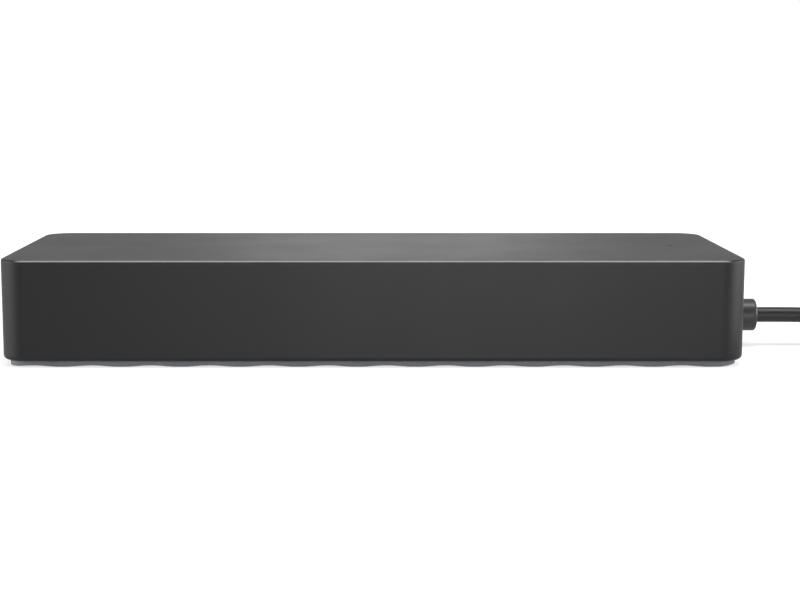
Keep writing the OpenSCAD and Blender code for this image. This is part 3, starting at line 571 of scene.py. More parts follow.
def flat_outline(bm, width, height, corners, segments, kinds=None):
    """A face in the XY plane. corners is one radius, and kinds gives other corners by their signs:
    {(1, -1): (cut, segments)}."""
    verts = bmesh.ops.create_grid(bm, x_segments=1, y_segments=1, size=0.5)["verts"]
    bmesh.ops.scale(bm, vec=(width, height, 1), verts=verts)
    for vert in list(verts):
        sign = (1 if vert.co.x > 0 else -1, 1 if vert.co.y > 0 else -1)
        radius, steps = (kinds or {}).get(sign, (corners, segments))
        ease(bm, [vert], radius, steps, "VERTICES")
    # where two round corners meet, their shared point is doubled
    bmesh.ops.remove_doubles(bm, verts=bm.verts, dist=0.005 * MM)
    bm.faces.ensure_lookup_table()
    return bm.faces[-1]


def push(bm, face, vector):
    """Extrudes a face along a vector and gives the face at the far end."""
    attached = any(len(edge.link_faces) > 1 for edge in face.edges)
    made = bmesh.ops.extrude_face_region(bm, geom=[face])["geom"]
    if attached:
        bmesh.ops.delete(bm, geom=[face], context="FACES_ONLY")
    bmesh.ops.translate(bm, vec=vector, verts=[v for v in made if isinstance(v, bmesh.types.BMVert)])
    return next(f for f in made if isinstance(f, bmesh.types.BMFace))


def inset(bm, faces, width):
    bmesh.ops.inset_region(bm, faces=faces, thickness=width, use_even_offset=True, use_boundary=True)


def soften(bm, chosen, width, segments=2):
    """Rounds the edges that the test picks."""
    ease(bm, [e for e in bm.edges if chosen(e)], width, segments)


def sharp(edge, degrees=50):
    return edge.is_manifold and edge.calc_face_angle(0) > math.radians(degrees)


def level(edge, axis, value, tolerance=1e-6):
    """Both ends of an edge lie at that coordinate."""
    return all(abs(v.co[axis] - value) < tolerance for v in edge.verts)


def shift(bm, vector, verts=None):
    bmesh.ops.translate(bm, vec=vector, verts=verts if verts is not None else bm.verts)


def turn(bm, degrees, axis, centre=(0, 0, 0), verts=None):
    bmesh.ops.rotate(bm, cent=centre, matrix=Matrix.Rotation(math.radians(degrees), 3, axis),
                     verts=verts if verts is not None else bm.verts)


def block(bm, centre, size, edge=0.0, segments=2):
    verts = bmesh.ops.create_cube(bm, size=1)["verts"]
    bmesh.ops.scale(bm, vec=size, verts=verts)
    bmesh.ops.translate(bm, vec=centre, verts=verts)
    if edge:
        ease(bm, list({e for v in verts for e in v.link_edges}), edge, segments)


def ribbon(bm, points, width, thickness, centre=0.0):
    """A strip bent through (y, z) points, `width` wide along X, with its thickness upwards."""
    count = len(points)
    verts = bmesh.ops.create_grid(bm, x_segments=1, y_segments=count - 1, size=0.5)["verts"]
    faces = list({f for v in verts for f in v.link_faces})
    for vert in verts:
        y, z = points[round((vert.co.y + 0.5) * (count - 1))]
        vert.co = (centre + vert.co.x * width, y, z)
    bmesh.ops.recalc_face_normals(bm, faces=faces)
    bmesh.ops.solidify(bm, geom=faces, thickness=thickness)
    return verts


def spun(bm, profile, segments=48):
    """A closed shape turned round the X axis from (x, radius) points."""
    verts = [bm.verts.new((x, radius, 0)) for x, radius in profile]
    edges = [bm.edges.new(pair) for pair in zip(verts, verts[1:])]
    bmesh.ops.spin(bm, geom=verts + edges, cent=(0, 0, 0), axis=(1, 0, 0), angle=2 * math.pi,
                   steps=segments, use_merge=True)
    bmesh.ops.remove_doubles(bm, verts=bm.verts, dist=1e-7)
    bmesh.ops.recalc_face_normals(bm, faces=bm.faces)


def arc(centre, radius, start, end, steps):
    """Points on part of a circle, in degrees."""
    angles = [math.radians(start + (end - start) * k / steps) for k in range(steps + 1)]
    return [(centre[0] + radius * math.cos(a), centre[1] + radius * math.sin(a)) for a in angles]


def join(bm, other):
    """Puts another shape into this one and frees it."""
    mesh = bpy.data.meshes.new("joined")
    other.to_mesh(mesh)
    other.free()
    bm.from_mesh(mesh)
    bpy.data.meshes.remove(mesh)


def new_piece(name, bm, slot, stands_for, body="dock", crease=35, even=False):
    """Ends a piece: closes its seams, shades it, gives it its finish and lets it ride on its body."""
    bmesh.ops.remove_doubles(bm, verts=bm.verts, dist=2e-7)
    mesh = bpy.data.meshes.new(name)
    bm.to_mesh(mesh)
    bm.free()
    piece = bpy.data.objects.new(name, mesh)
    bpy.context.scene.collection.objects.link(piece)
    mesh.shade_smooth()
    mesh.set_sharp_from_angle(angle=math.radians(crease))
    if even:
        weighted = piece.modifiers.new("even_faces", "WEIGHTED_NORMAL")
        weighted.keep_sharp = True
        weighted.weight = 100
    mesh.materials.append(finish(slot))
    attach(piece, body)
    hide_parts(*stands_for)
    return piece


def cut(bm, *cutters):
    """Takes the cutters away from a shape, and gives the shape back as a new bmesh."""
    solids = []
    for k, shape in enumerate((bm, *cutters)):
        bmesh.ops.recalc_face_normals(shape, faces=shape.faces)
        mesh = bpy.data.meshes.new("cut_%d" % k)
        shape.to_mesh(mesh)
        shape.free()
        solid = bpy.data.objects.new("cut_%d" % k, mesh)
        bpy.context.scene.collection.objects.link(solid)
        solids.append(solid)
    for cutter in solids[1:]:
        step = solids[0].modifiers.new(cutter.name, "BOOLEAN")
        step.operation, step.solver, step.object = "DIFFERENCE", "EXACT", cutter
    bpy.context.view_layer.update()
    result = solids[0].evaluated_get(bpy.context.evaluated_depsgraph_get())
    out = bmesh.new()
    out.from_mesh(result.to_mesh())
    result.to_mesh_clear()
    for solid in solids:
        mesh = solid.data
        bpy.data.objects.remove(solid)
        bpy.data.meshes.remove(mesh)
    return out


# Corners of each socket's opening: radius, steps, and cut corners by their signs across and up.
# An oval opening has no radius of its own, because its ends are half round.
OPENINGS = {
    "jack": (0.35 * MM, 4, {}),
    "video_b": (0.25 * MM, 4, {(1, -1): (2.0 * MM, 1)}),
    "video_a": (0.25 * MM, 4, {(1, -1): (1.65 * MM, 1), (-1, -1): (1.65 * MM, 1)}),
    "type_a": (0.4 * MM, 6, {}),
    "type_c": (None, 12, {}),
}


def socket_outline(bm, style, width, height, grow=0.0):
    """A socket's opening, grown all round, as a face across Y."""
    radius, steps, kinds = OPENINGS[style]
    width, height = width + 2 * grow, height + 2 * grow
    radius = height / 2 - 1e-6 if radius is None else radius + max(grow, 0)
    kinds = {corner: (size + 0.6 * grow, count) for corner, (size, count) in kinds.items()}
    face = flat_outline(bm, width, height, radius, steps, kinds)
    turn(bm, 90, "X", verts=face.verts)
    return face


def flared_end(bm, face, x, z, wide, tall, deep, flare):
    """Draws a face towards the rear into a cutter that is wider all round past its mouth."""
    front = push(bm, face, (0, deep - flare, 0))
    front = push(bm, front, (0, 2 * flare, 0))
    bmesh.ops.scale(bm, vec=((wide + 4 * flare) / wide, 1, (tall + 4 * flare) / tall),
                    space=Matrix.Translation((-x, 0, -z)), verts=front.verts)


class Socket:
    """Where a socket's shell stands, from its CAD node."""

    def __init__(self, style, node):
        low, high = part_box(node)
        sizes = bpy.context.scene.dock_sizes
        self.style, self.node = style, node
        self.x, self.z = (low.x + high.x) / 2, (low.z + high.z) / 2
        self.mouth, self.back = high.y, low.y
        self.width = high.x - low.x - 2 * sizes.sheet
        self.height = high.z - low.z - 2 * sizes.sheet

    def shell(self, bm):
        """A drawn shell with a closed back and rounded lips."""
        sheet = bpy.context.scene.dock_sizes.sheet
        face = socket_outline(bm, self.style, self.width, self.height, sheet)
        shift(bm, (self.x, self.back, self.z), face.verts)
        front = push(bm, face, (0, self.mouth - self.back, 0))
        bmesh.ops.recalc_face_normals(bm, faces=bm.faces)
        inset(bm, [front], sheet)
        push(bm, front, (0, -(self.mouth - self.back - sheet), 0))
        bmesh.ops.recalc_face_normals(bm, faces=bm.faces)
        soften(bm, lambda e: level(e, 1, self.mouth) and sharp(e), 0.09 * MM, 3)
        soften(bm, lambda e: level(e, 1, self.back) and sharp(e), 0.15 * MM, 2)

    def shell_piece(self, name, leaves=None):
        """The shell as a piece, with leaf springs in its broad walls if their sizes are given."""
        bm = bmesh.new()
        self.shell(bm)
        if leaves:
            across, length, width, bulge = leaves
            for side in (-1, 1):
                for place in (-across, across):
                    spring_leaf(bm, self.x + place * self.width, self.z + side * self.height / 2, side,
                                self.mouth, length, width, bulge)
        new_piece(name, bm, "socket_steel", [self.node], even=True)

    def window(self, outside):
        """The cutter for this socket's window in the rear wall, bevelled at the outer face."""
        sizes = bpy.context.scene.dock_sizes
        bm = bmesh.new()
        deep = 4 * MM
        grow = sizes.sheet + sizes.window_gap
        face = socket_outline(bm, self.style, self.width, self.height, grow)
        shift(bm, (self.x, outside - deep, self.z), face.verts)
        flared_end(bm, face, self.x, self.z, self.width + 2 * grow, self.height + 2 * grow, deep,
                   sizes.window_flare / 2)
        return bm


ALL_SOCKETS = [
    ("jack", "network_jack_shell"),
    ("video_b", "video_socket_b_shell"),
    ("video_a", "video_socket_a_shell"),
    ("type_a", "type_a_socket_1_shell"),
    ("type_a", "type_a_socket_2_shell"),
    ("type_c", "type_c_socket_1_shell"),
    ("type_c", "type_c_socket_2_shell"),
]


def spring_leaf(bm, x, wall_z, side, mouth, length, width, bulge):
    """A sprung tongue bent out of the shell's wall, bearing on the plug; side is 1 under the top wall."""
    set_back, proud, thickness = 1.1 * MM, 0.02 * MM, 0.16 * MM
    shape = [(0, 0), (0.12, 0.1), (0.35, 0.75), (0.5, 1), (0.62, 0.95), (0.85, 0.35), (1, 0.02)]
    points = [(mouth - set_back - f * length, wall_z - side * (proud + g * bulge)) for f, g in shape]
    ribbon(bm, points, width, thickness, centre=x)


# ---- Operators ----


class DOCK_OT_stage(bpy.types.Operator):
    """Makes the camera, the pale floor and the soft studio light"""

    bl_idname = "dock.stage"
    bl_label = "Stage"

    def execute(self, context):
        studio = context.scene.dock_studio
        camera_data = bpy.data.cameras.new("studio_camera")
        camera_data.sensor_width = 36
        camera_data.lens = studio.lens
        camera_data.shift_x = studio.shift
        camera_data.clip_start, camera_data.clip_end = 0.01, 20
        camera = bpy.data.objects.new("studio_camera", camera_data)
        camera.location = (0, -studio.distance, studio.height)
        camera.rotation_euler = (math.radians(90) - studio.pitch, 0, 0)
        context.scene.collection.objects.link(camera)
        context.scene.camera = camera
        context.scene.view_settings.view_transform = "Standard"
        context.scene.view_settings.look = "None"

        self.room(context, studio)

        bm = bmesh.new()
        bmesh.ops.create_grid(bm, x_segments=1, y_segments=1, size=0.5)
        mesh = bpy.data.meshes.new("studio_floor")
        bm.to_mesh(mesh)
        bm.free()
        floor = bpy.data.objects.new("studio_floor", mesh)
        context.scene.collection.objects.link(floor)
        paper = Finish("studio_paper", (0.33, 0.33, 0.33), 0.8, Emission_Color=(1, 1, 1, 1))
        paper.mottle(paper.noise(0.4, detail=2), 0.995, 1.005)
        # the paper fades to the room's white towards its edges
        away = paper.node("ShaderNodeVectorMath", {0: paper.place}, operation="LENGTH").outputs["Value"]
        paper.feed(paper.shader.inputs["Emission Strength"],
                   paper.spread(away, PAPER_NEAR, PAPER_FAR, PAPER_GLOW))
        mesh.materials.append(paper.material)

        # name, place, aim, width, height, radiance
        lamps = [
            ("roof_light", (0, -0.35, 0.85), (0, -0.03, 0), 0.9, 0.4, 0.7),
            ("strip_light", (0.1, -0.11, 0.8), (0.1, 0, 0), 0.6, 0.12, 29.0),
            ("left_light", (-0.6, -0.15, 0.13), (0, 0, 0.02), 0.5, 0.26, 12.5),
            ("right_light", (0.6, -0.12, 0.13), (0, 0, 0.02), 0.5, 0.26, 17.0),
            ("back_light", (0.02, 1.2, 0.2), (0, 0, 0.02), 0.3, 0.4, 1.2),
            ("front_light", (0.035, -0.34, 0.03), (0.02, 0, 0.01), 0.12, 0.08, 26.0),
        ]
        for name, place, aim, wide, tall, radiance in lamps:
            data = bpy.data.lights.new(name, "AREA")
            data.shape, data.size, data.size_y = "RECTANGLE", wide, tall
            data.energy = radiance * math.pi * wide * tall
            lamp = bpy.data.objects.new(name, data)
            lamp.location = place
            lamp.rotation_euler = (Vector(aim) - Vector(place)).to_track_quat("-Z", "Y").to_euler()
            context.scene.collection.objects.link(lamp)
        return {"FINISHED"}

    def room(self, context, studio):
        """A white room, lighter behind the dock than in front of it, seen as plain white."""
        world = bpy.data.worlds.new("pale_room")
        world.use_nodes = True
        tree = world.node_tree
        background = tree.nodes["Background"]
        background.inputs["Color"].default_value = (1, 1, 1, 1)
        place = tree.nodes.new("ShaderNodeTexCoord")
        split = tree.nodes.new("ShaderNodeSeparateXYZ")
        fade = tree.nodes.new("ShaderNodeMapRange")
        fade.inputs["From Min"].default_value = ROOM_FRONT
        fade.inputs["From Max"].default_value = ROOM_REAR
        fade.inputs["To Min"].default_value = studio.room_front
        fade.inputs["To Max"].default_value = studio.room_back
        seen = tree.nodes.new("ShaderNodeLightPath")
        white = tree.nodes.new("ShaderNodeMix")
        white.inputs["B"].default_value = SEEN_WHITE
        tree.links.new(place.outputs["Generated"], split.inputs["Vector"])
        tree.links.new(split.outputs["Y"], fade.inputs["Value"])
        tree.links.new(fade.outputs["Result"], white.inputs["A"])
        tree.links.new(seen.outputs["Is Camera Ray"], white.inputs["Factor"])
        tree.links.new(white.outputs["Result"], background.inputs["Strength"])
        context.scene.world = world


def route_points():
    """The whole lead: the run, the coil's turns by a loop, and the tail."""
    points = [Vector((EXIT.x / MM + x, y, z)) for x, y, z in RUN_ROUTE]
    steps = round(COIL_TURNS * STEPS_PER_TURN)
    for k in range(1, steps):
        around = math.radians(90 - 360 * k / STEPS_PER_TURN)
        points.append(Vector((
            EXIT.x / MM + COIL_CENTRE[0] + COIL_RADIUS * math.cos(around),
            COIL_CENTRE[1] + COIL_RADIUS * math.sin(around),
            COIL_LOW + COIL_RISE * k / STEPS_PER_TURN)))
    points += [Vector((EXIT.x / MM + x, y, z)) for x, y, z in TAIL_ROUTE]
    return [p * MM for p in points]


def end_outline(bm, centre, width, height, radius, segments):
    """A flat outline across X, with its middle at a place."""
    face = flat_outline(bm, width, height, radius, segments)
    turn(bm, 90, "X", verts=face.verts)
    turn(bm, 90, "Z", verts=face.verts)
    shift(bm, centre, face.verts)
    return face


class DOCK_OT_plug(bpy.types.Operator):
    """Builds the oval plug: its ribbed grip with the strain relief, and its drawn shell"""

    bl_idname = "dock.plug"
    bl_label = "Plug"

    def execute(self, context):
        low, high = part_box("plug_grip")
        middle = (low + high) / 2
        self.grip(low, high, middle)
        self.drawn_shell(middle)
        return {"FINISHED"}

    def grip(self, low, high, middle):
        relief = 6 * MM
        end = low.x + (high.x - low.x - relief)
        bm = bmesh.new()
        face = end_outline(bm, (low.x, middle.y, middle.z), high.y - low.y, high.z - low.z, 2.6 * MM, 10)
        push(bm, face, (end - low.x, 0, 0))
        bmesh.ops.recalc_face_normals(bm, faces=bm.faces)
        soften(bm, lambda e: level(e, 0, low.x) and sharp(e), 0.7 * MM, 5)
        soften(bm, lambda e: level(e, 0, end) and sharp(e), 1.3 * MM, 6)
        # finger ribs across both broad sides, sunk a little so that none floats
        rib, first_rib, rib_pitch, sunk = (0.7 * MM, 6.4 * MM, 0.3 * MM), 5.2 * MM, 1.7 * MM, 0.02 * MM
        for side in (-1, 1):
            for k in range(5):
                rib_z = middle.z + side * ((high.z - low.z) / 2 - sunk)
                block(bm, (low.x + first_rib + rib_pitch * k, middle.y, rib_z), rib, 0.12 * MM, 3)
        # the strain relief: rings that get thinner towards the lead, each with a groove behind it
        rings, overlap = 4, 0.6 * MM
        start, step = end - overlap, (relief + overlap) / rings
        profile = [(start, 0)]
        for k in range(rings):
            x = start + (relief + overlap) * k / rings
            big = (2.9 - 0.18 * k) * MM
            profile += [(x, big), (x + 0.62 * step, big - 0.06 * MM), (x + 0.66 * step, big - 0.45 * MM),
                        (x + 0.96 * step, big - 0.5 * MM)]
        profile += [(high.x, 2.0 * MM), (high.x, 0)]
        cone = bmesh.new()
        spun(cone, profile, 32)
        shift(cone, (0, middle.y, middle.z))
        join(bm, cone)
        new_piece("lead_plug_grip", bm, "gland_plastic", ["plug_grip"], crease=40, even=True)

    def drawn_shell(self, middle):
        low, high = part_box("plug_shell")
        tall, sheet, back = high.z - low.z, 0.25 * MM, 0.2 * MM
        bm = bmesh.new()
        face = end_outline(bm, (high.x, middle.y, middle.z), high.y - low.y, tall, tall / 2 - 1e-6, 14)
        front = push(bm, face, (low.x - high.x, 0, 0))
        bmesh.ops.recalc_face_normals(bm, faces=bm.faces)
        inset(bm, [front], sheet)
        push(bm, front, (high.x - low.x - back, 0, 0))
        bmesh.ops.recalc_face_normals(bm, faces=bm.faces)
        soften(bm, lambda e: level(e, 0, low.x) and sharp(e), 0.1 * MM, 4)
        new_piece("lead_plug_shell", bm, "plug_steel", ["plug_shell"], crease=40)


class DOCK_OT_lead(bpy.types.Operator):
    """Lays the lead along its route, coiled and tied"""

    bl_idname = "dock.lead"
    bl_label = "Lead"

    def execute(self, context):
        sizes = context.scene.dock_sizes
        points = route_points()
        curve = bpy.data.curves.new("lead", "CURVE")
        curve.dimensions = "3D"
        curve.bevel_depth = sizes.lead_diameter / 2
        curve.bevel_resolution = 6
        curve.use_fill_caps = True
        curve.resolution_u = 5
        line = curve.splines.new("BEZIER")
        line.bezier_points.add(len(points) - 1)
        for knot, point in zip(line.bezier_points, points):
            knot.co = point
            knot.handle_left_type = knot.handle_right_type = "AUTO"
        lead = bpy.data.objects.new("lead", curve)
        context.scene.collection.objects.link(lead)
        curve.materials.append(finish("lead_jacket"))
        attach(lead, "dock")
        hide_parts("lead_run", "lead_coil", "lead_tail")
        tie = self.tie()
        return {"FINISHED"}

    def tie(self):
        """A band of woven tape round the coil's turns, with its free end folded over."""
        centre = Vector((EXIT.x + COIL_CENTRE[0] * MM, COIL_CENTRE[1] * MM, 0))
        angle = 205  # round the coil, where two turns pass
        # the lower turn's height here, by how far round the lead has come since the coil's start
        first = COIL_LOW + COIL_RISE * (90 + 360 - angle) / 360
        slack, tape, band = 0.2, 0.4, 3 * MM
        bm = bmesh.new()
        tall = (2 * COIL_RISE + slack + 2 * tape) * MM
        wide = (COIL_RISE + slack + 2 * tape) * MM
        face = flat_outline(bm, wide, tall, 1.5 * MM, 8)
        turn(bm, 90, "X", verts=face.verts)
        shift(bm, (0, -band / 2, 0), face.verts)
        push(bm, face, (0, band, 0))
        bmesh.ops.recalc_face_normals(bm, faces=bm.faces)
        ends = [f for f in bm.faces if abs(f.normal.y) > 0.9]
        inset(bm, ends, tape * MM)
        bmesh.ops.bridge_loops(bm, edges=list({e for f in ends for e in f.edges}))
        bmesh.ops.delete(bm, geom=[f for f in ends if f.is_valid], context="FACES_ONLY")
        bmesh.ops.recalc_face_normals(bm, faces=bm.faces)
        soften(bm, sharp, 0.1 * MM)
        # the tape's free end lies over the band's top
        block(bm, (0.2 * MM, 0, tall / 2 - 0.12 * MM), (2.2 * MM, 2.8 * MM, 0.3 * MM), 0.08 * MM)
        shift(bm, (COIL_RADIUS * MM, 0, (first + COIL_RISE / 2) * MM))
        turn(bm, angle, "Z")
        shift(bm, centre)
        return new_piece("lead_tie_band", bm, "tie_fabric", ["lead_tie"], crease=40)


class DOCK_OT_gland(bpy.types.Operator):
    """Turns the gland's collar with its rounded rim and its bore"""

    bl_idname = "dock.gland"
    bl_label = "Gland"

    def execute(self, context):
        low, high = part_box("lead_gland")
        sizes = context.scene.dock_sizes
        radius, core, rim, eased = 3.05 * MM, 2.5 * MM, 0.4 * MM, 0.12 * MM
        bore = sizes.lead_diameter / 2 + 0.02 * MM
        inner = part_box("housing")[1].x - sizes.wall
        bm = bmesh.new()
        profile = [(low.x, bore), (low.x, core), (inner - 0.4 * MM, core), (inner - 0.3 * MM, radius)]
        profile += [(high.x - rim - 0.35 * MM, radius)]
        # the rounded rim, then the eased edge of the bore
        profile += arc((high.x - rim, radius - rim), rim, 90, 0, 6)
        profile += arc((high.x - eased, bore + eased), eased, 0, -90, 3)
        profile += [(low.x, bore)]
        spun(bm, profile, 64)
        shift(bm, (0, 0, EXIT.z))
        # the flange behind the wall keeps it from being pulled out or turned
        flange = bmesh.new()
        block(flange, ((low.x + inner) / 2, 0, EXIT.z),
              (inner - low.x, high.y - low.y, high.z - low.z), 0.3 * MM)
        bored = bmesh.new()
        clear = bore + 0.01 * MM
        spun(bored, [(low.x - MM, 0), (low.x - MM, clear), (inner + MM, clear), (inner + MM, 0)], 64)
        shift(bored, (0, 0, EXIT.z))
        join(bm, cut(flange, bored))
        new_piece("gland", bm, "gland_plastic", ["lead_gland"], crease=32)
        return {"FINISHED"}


def drill(mouth, bore, flare, segments):
    """A cutter along X for a round hole 3 mm deep, flared past its mouth."""
    bm = bmesh.new()
    spun(bm, [(mouth - 3 * MM, 0), (mouth - 3 * MM, bore), (mouth - flare, bore),
              (mouth + flare, bore + 2 * flare), (mouth + flare, 0)], segments)
    return bm


class DOCK_OT_casing(bpy.types.Operator):
    """Builds the hollow housing with its windows, lead hole, lamp hole, pillars and bosses"""

    bl_idname = "dock.casing"
    bl_label = "Casing"

    def execute(self, context):
        sizes = context.scene.dock_sizes
        low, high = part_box("housing")
        size = high - low
        bm = bmesh.new()
        face = flat_outline(bm, size.x, size.y, sizes.corner_radius, 20)
        shift(bm, (0, 0, low.z), face.verts)
        push(bm, face, (0, 0, size.z))
        bmesh.ops.recalc_face_normals(bm, faces=bm.faces)
        soften(bm, lambda e: level(e, 2, high.z), sizes.top_edge, 6)
        soften(bm, lambda e: level(e, 2, low.z), sizes.bottom_edge, 9)
        bottom = min(bm.faces, key=lambda f: f.calc_center_median().z - (1 if len(f.verts) > 8 else 0))
        inset(bm, [bottom], sizes.wall - sizes.bottom_edge)
        push(bm, bottom, (0, 0, size.z - sizes.roof))

        gland_radius, lamp_radius, lamp_from_end = 3.1 * MM, 0.55 * MM, 9.7 * MM
        lead_hole = drill(high.x, gland_radius, 0.12 * MM, 64)
        shift(lead_hole, (0, 0, EXIT.z))
        lamp_hole = drill(0, lamp_radius, 0.05 * MM, 32)
        turn(lamp_hole, -90, "Y")
        shift(lamp_hole, (high.x - lamp_from_end, 0, high.z))
        windows = [Socket(style, node).window(high.y) for style, node in ALL_SOCKETS]
        bm = cut(bm, *windows, lead_hole, lamp_hole)

        # posts under the ceiling: six for the base plate and four for the board
        ceiling = high.z - sizes.roof
        for screws, under, radius, bore in (("cover_screws", "bottom_cover", 2.0 * MM, 0.95 * MM),
                                            ("board_screws", "main_board", 1.8 * MM, 0.75 * MM)):
            for x, y in screw_places(screws):
                tube(bm, x, y, radius, bore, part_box(under)[1].z, ceiling + 0.05 * MM)
        new_piece("casing", bm, "housing_plastic", ["housing"], crease=30, even=True)
        return {"FINISHED"}


def screw_places(node):
    """Middles of the screws in one CAD node: points less than 3 mm apart are of one screw."""
    screws = []
    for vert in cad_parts[node].data.vertices:
        point = vert.co.xy.copy()
        screw = next((found for found in screws if (point - found[0]).length < 3 * MM), None)
        if screw:
            screw.append(point)
        else:
            screws.append([point])
    return [[(min(p[axis] for p in screw) + max(p[axis] for p in screw)) / 2 for axis in (0, 1)]
            for screw in screws]


def tube(bm, x, y, radius, bore, base, top):
    """A post with a blind bore, open below."""
    ring = bmesh.ops.create_circle(bm, cap_ends=True, radius=radius, segments=32)["verts"]
    shift(bm, (x, y, top), ring)
    face = next(f for f in ring[0].link_faces if all(v in ring for v in f.verts))
    others = set(bm.faces) - {face}
    low = push(bm, face, (0, 0, base - top))
    bmesh.ops.recalc_face_normals(bm, faces=[f for f in bm.faces if f not in others])
    inset(bm, [low], radius - bore)
    push(bm, low, (0, 0, min(7.5 * MM, (top - base) * 0.9)))


class DOCK_OT_foot_pad(bpy.types.Operator):
    """Builds the rubber pad with its wavy underside"""

    bl_idname = "dock.foot_pad"
    bl_label = "Foot pad"

    def execute(self, context):
        sizes = context.scene.dock_sizes
        low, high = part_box("foot_pad")
        size = high - low
        bm = bmesh.new()
        face = flat_outline(bm, size.x, size.y, 3.4 * MM, 14)
        push(bm, face, (0, 0, size.z))
        bmesh.ops.recalc_face_normals(bm, faces=bm.faces)
        soften(bm, lambda e: level(e, 2, low.z), 0.22 * MM, 4)
        soften(bm, lambda e: level(e, 2, high.z), 0.12 * MM, 3)
        # cross cuts let the underside follow the waves, 12 to a wave
        columns = round(size.x / sizes.wave_pitch * 12)
        for k in range(1, columns):
            x = low.x + size.x * k / columns
            bmesh.ops.bisect_plane(bm, geom=bm.verts[:] + bm.edges[:] + bm.faces[:], dist=1e-7,
                                   plane_co=(x, 0, 0), plane_no=(1, 0, 0))
        for vert in bm.verts:
            share = max(0.0, 1 - (vert.co.z - low.z) / size.z)
            wave = 0.45 + 0.55 * math.cos(2 * math.pi * (vert.co.x - sizes.wave_start) / sizes.wave_pitch)
            vert.co.z += share * max(0.0, wave) * sizes.wave_height
        new_piece("rubber_pad", bm, "foot_rubber", ["foot_pad"], crease=40)
        return {"FINISHED"}


# the jack's cavity floor below its middle, its wires, and its two lamps
JACK_FLOOR = 4.2 * MM
JACK_WIRES, WIRE_PITCH, WIRE_SET_BACK = 8, 1.02 * MM, 2.2 * MM
LAMP_X, LAMP_Z, LAMP_WIDTH, LAMP_TALL = 5.6 * MM, 4.8 * MM, 2.8 * MM, 1.6 * MM


class DOCK_OT_network_jack(bpy.types.Operator):
    """Builds the network jack: shell, insert with its cavity, lamps and sprung wires"""

    bl_idname = "dock.network_jack"
    bl_label = "Network jack"

    def execute(self, context):
        jack = Socket("jack", "network_jack_shell")
        jack.shell_piece("jack_shell")
        self.insert(jack)
        self.lamps(jack)
        self.wires(jack)
        return {"FINISHED"}

    def recess(self, jack, x, z, wide, tall, deep, flare, radius=0.15 * MM):
        """A cutter for a flared recess, from the mouth inwards."""
        cutter = bmesh.new()
        face = flat_outline(cutter, wide, tall, radius, 3)
        turn(cutter, 90, "X", verts=face.verts)
        shift(cutter, (x, jack.mouth - deep, z), face.verts)
        flared_end(cutter, face, x, z, wide, tall, deep, flare)
        return cutter

    def insert(self, jack):
        """The moulding with the plug's cavity, its two steps for the latch, and the lamps' places."""
        low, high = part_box("network_jack_insert")
        floor_z = jack.z - JACK_FLOOR
        bm = bmesh.new()
        block(bm, (low + high) / 2, high - low, 0.12 * MM)
        cutters = [
            self.recess(jack, jack.x, floor_z + 3.45 * MM, 11.8 * MM, 6.9 * MM, 12.5 * MM, 0.2 * MM),
            self.recess(jack, jack.x, floor_z + 7.6 * MM, 6.2 * MM, 1.8 * MM, 12.4 * MM, 0.2 * MM),
            self.recess(jack, jack.x, floor_z + 8.75 * MM, 3.4 * MM, 0.7 * MM, 9 * MM, 0.1 * MM, 0.05 * MM),
        ]
        for side in (-1, 1):
            cutters.append(self.recess(jack, jack.x + side * LAMP_X, jack.z + LAMP_Z,
                                       LAMP_WIDTH + 0.04 * MM, LAMP_TALL + 0.04 * MM,
                                       3 * MM, 0.08 * MM, 0.1 * MM))
        # the pocket under the wires' roots
        pocket = bmesh.new()
        block(pocket, (jack.x, jack.mouth - WIRE_SET_BACK - 4 * MM, floor_z - 0.44 * MM),
              (9.6 * MM, 9.4 * MM, 0.92 * MM))
        bm = cut(bm, *cutters, pocket)
        # comb between the wires at the back of the cavity, guiding their tips
        for k in range(JACK_WIRES + 1):
            x = jack.x + (k - JACK_WIRES / 2) * WIRE_PITCH
            block(bm, (x, jack.mouth - 12.1 * MM, floor_z + 2.1 * MM),
                  (0.36 * MM, 0.9 * MM, 4.0 * MM), 0.06 * MM, 1)
        new_piece("jack_insert", bm, "insert_plastic", ["network_jack_insert"], even=True)

    def lamps(self, jack):
        low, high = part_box("network_jack_lamps")
        bm = bmesh.new()
        for side in (-1, 1):
            block(bm, (jack.x + side * LAMP_X, (low.y + high.y) / 2, jack.z + LAMP_Z),
                  (LAMP_WIDTH, high.y - low.y, LAMP_TALL), 0.18 * MM, 4)
        new_piece("jack_lamps", bm, "lamp_amber", ["network_jack_lamps"], crease=40)

    def wires(self, jack):
        """The row of sprung wires: each rises from its root at 15 degrees and curls over at its tip."""
        root_y, root_z = jack.mouth - WIRE_SET_BACK, jack.z - JACK_FLOOR - 0.3 * MM
        slope = math.tan(math.radians(15))
        shape = [(0.0, -0.02), (0.5, 0.0), (1.0, slope * 1.0), (2.5, slope * 2.5), (4.5, slope * 4.5),
                 (6.2, slope * 6.2), (6.9, slope * 6.9 - 0.02), (7.3, slope * 7.15 - 0.09),
                 (7.6, slope * 7.2 - 0.28)]
        points = [(root_y - along * MM, root_z + (up - 0.15) * MM) for along, up in shape]
        bm = bmesh.new()
        for k in range(JACK_WIRES):
            x = jack.x + (k - (JACK_WIRES - 1) / 2) * WIRE_PITCH
            ribbon(bm, points, 0.35 * MM, 0.3 * MM, centre=x)
        bmesh.ops.recalc_face_normals(bm, faces=bm.faces)
        soften(bm, lambda e: sharp(e, 60), 0.07 * MM)
        new_piece("jack_wires", bm, "contact_gold", ["network_jack_contacts"], body="network_contacts",
                  crease=50)


def socket_core(bm, socket, deep):
    """The plug of the shell's outline that closes a socket's back; gives where its front is."""
    back = socket.back + bpy.context.scene.dock_sizes.sheet
    face = socket_outline(bm, socket.style, socket.width, socket.height, -0.02 * MM)
    shift(bm, (socket.x, back, socket.z), face.verts)
    push(bm, face, (0, deep, 0))
    return back + deep


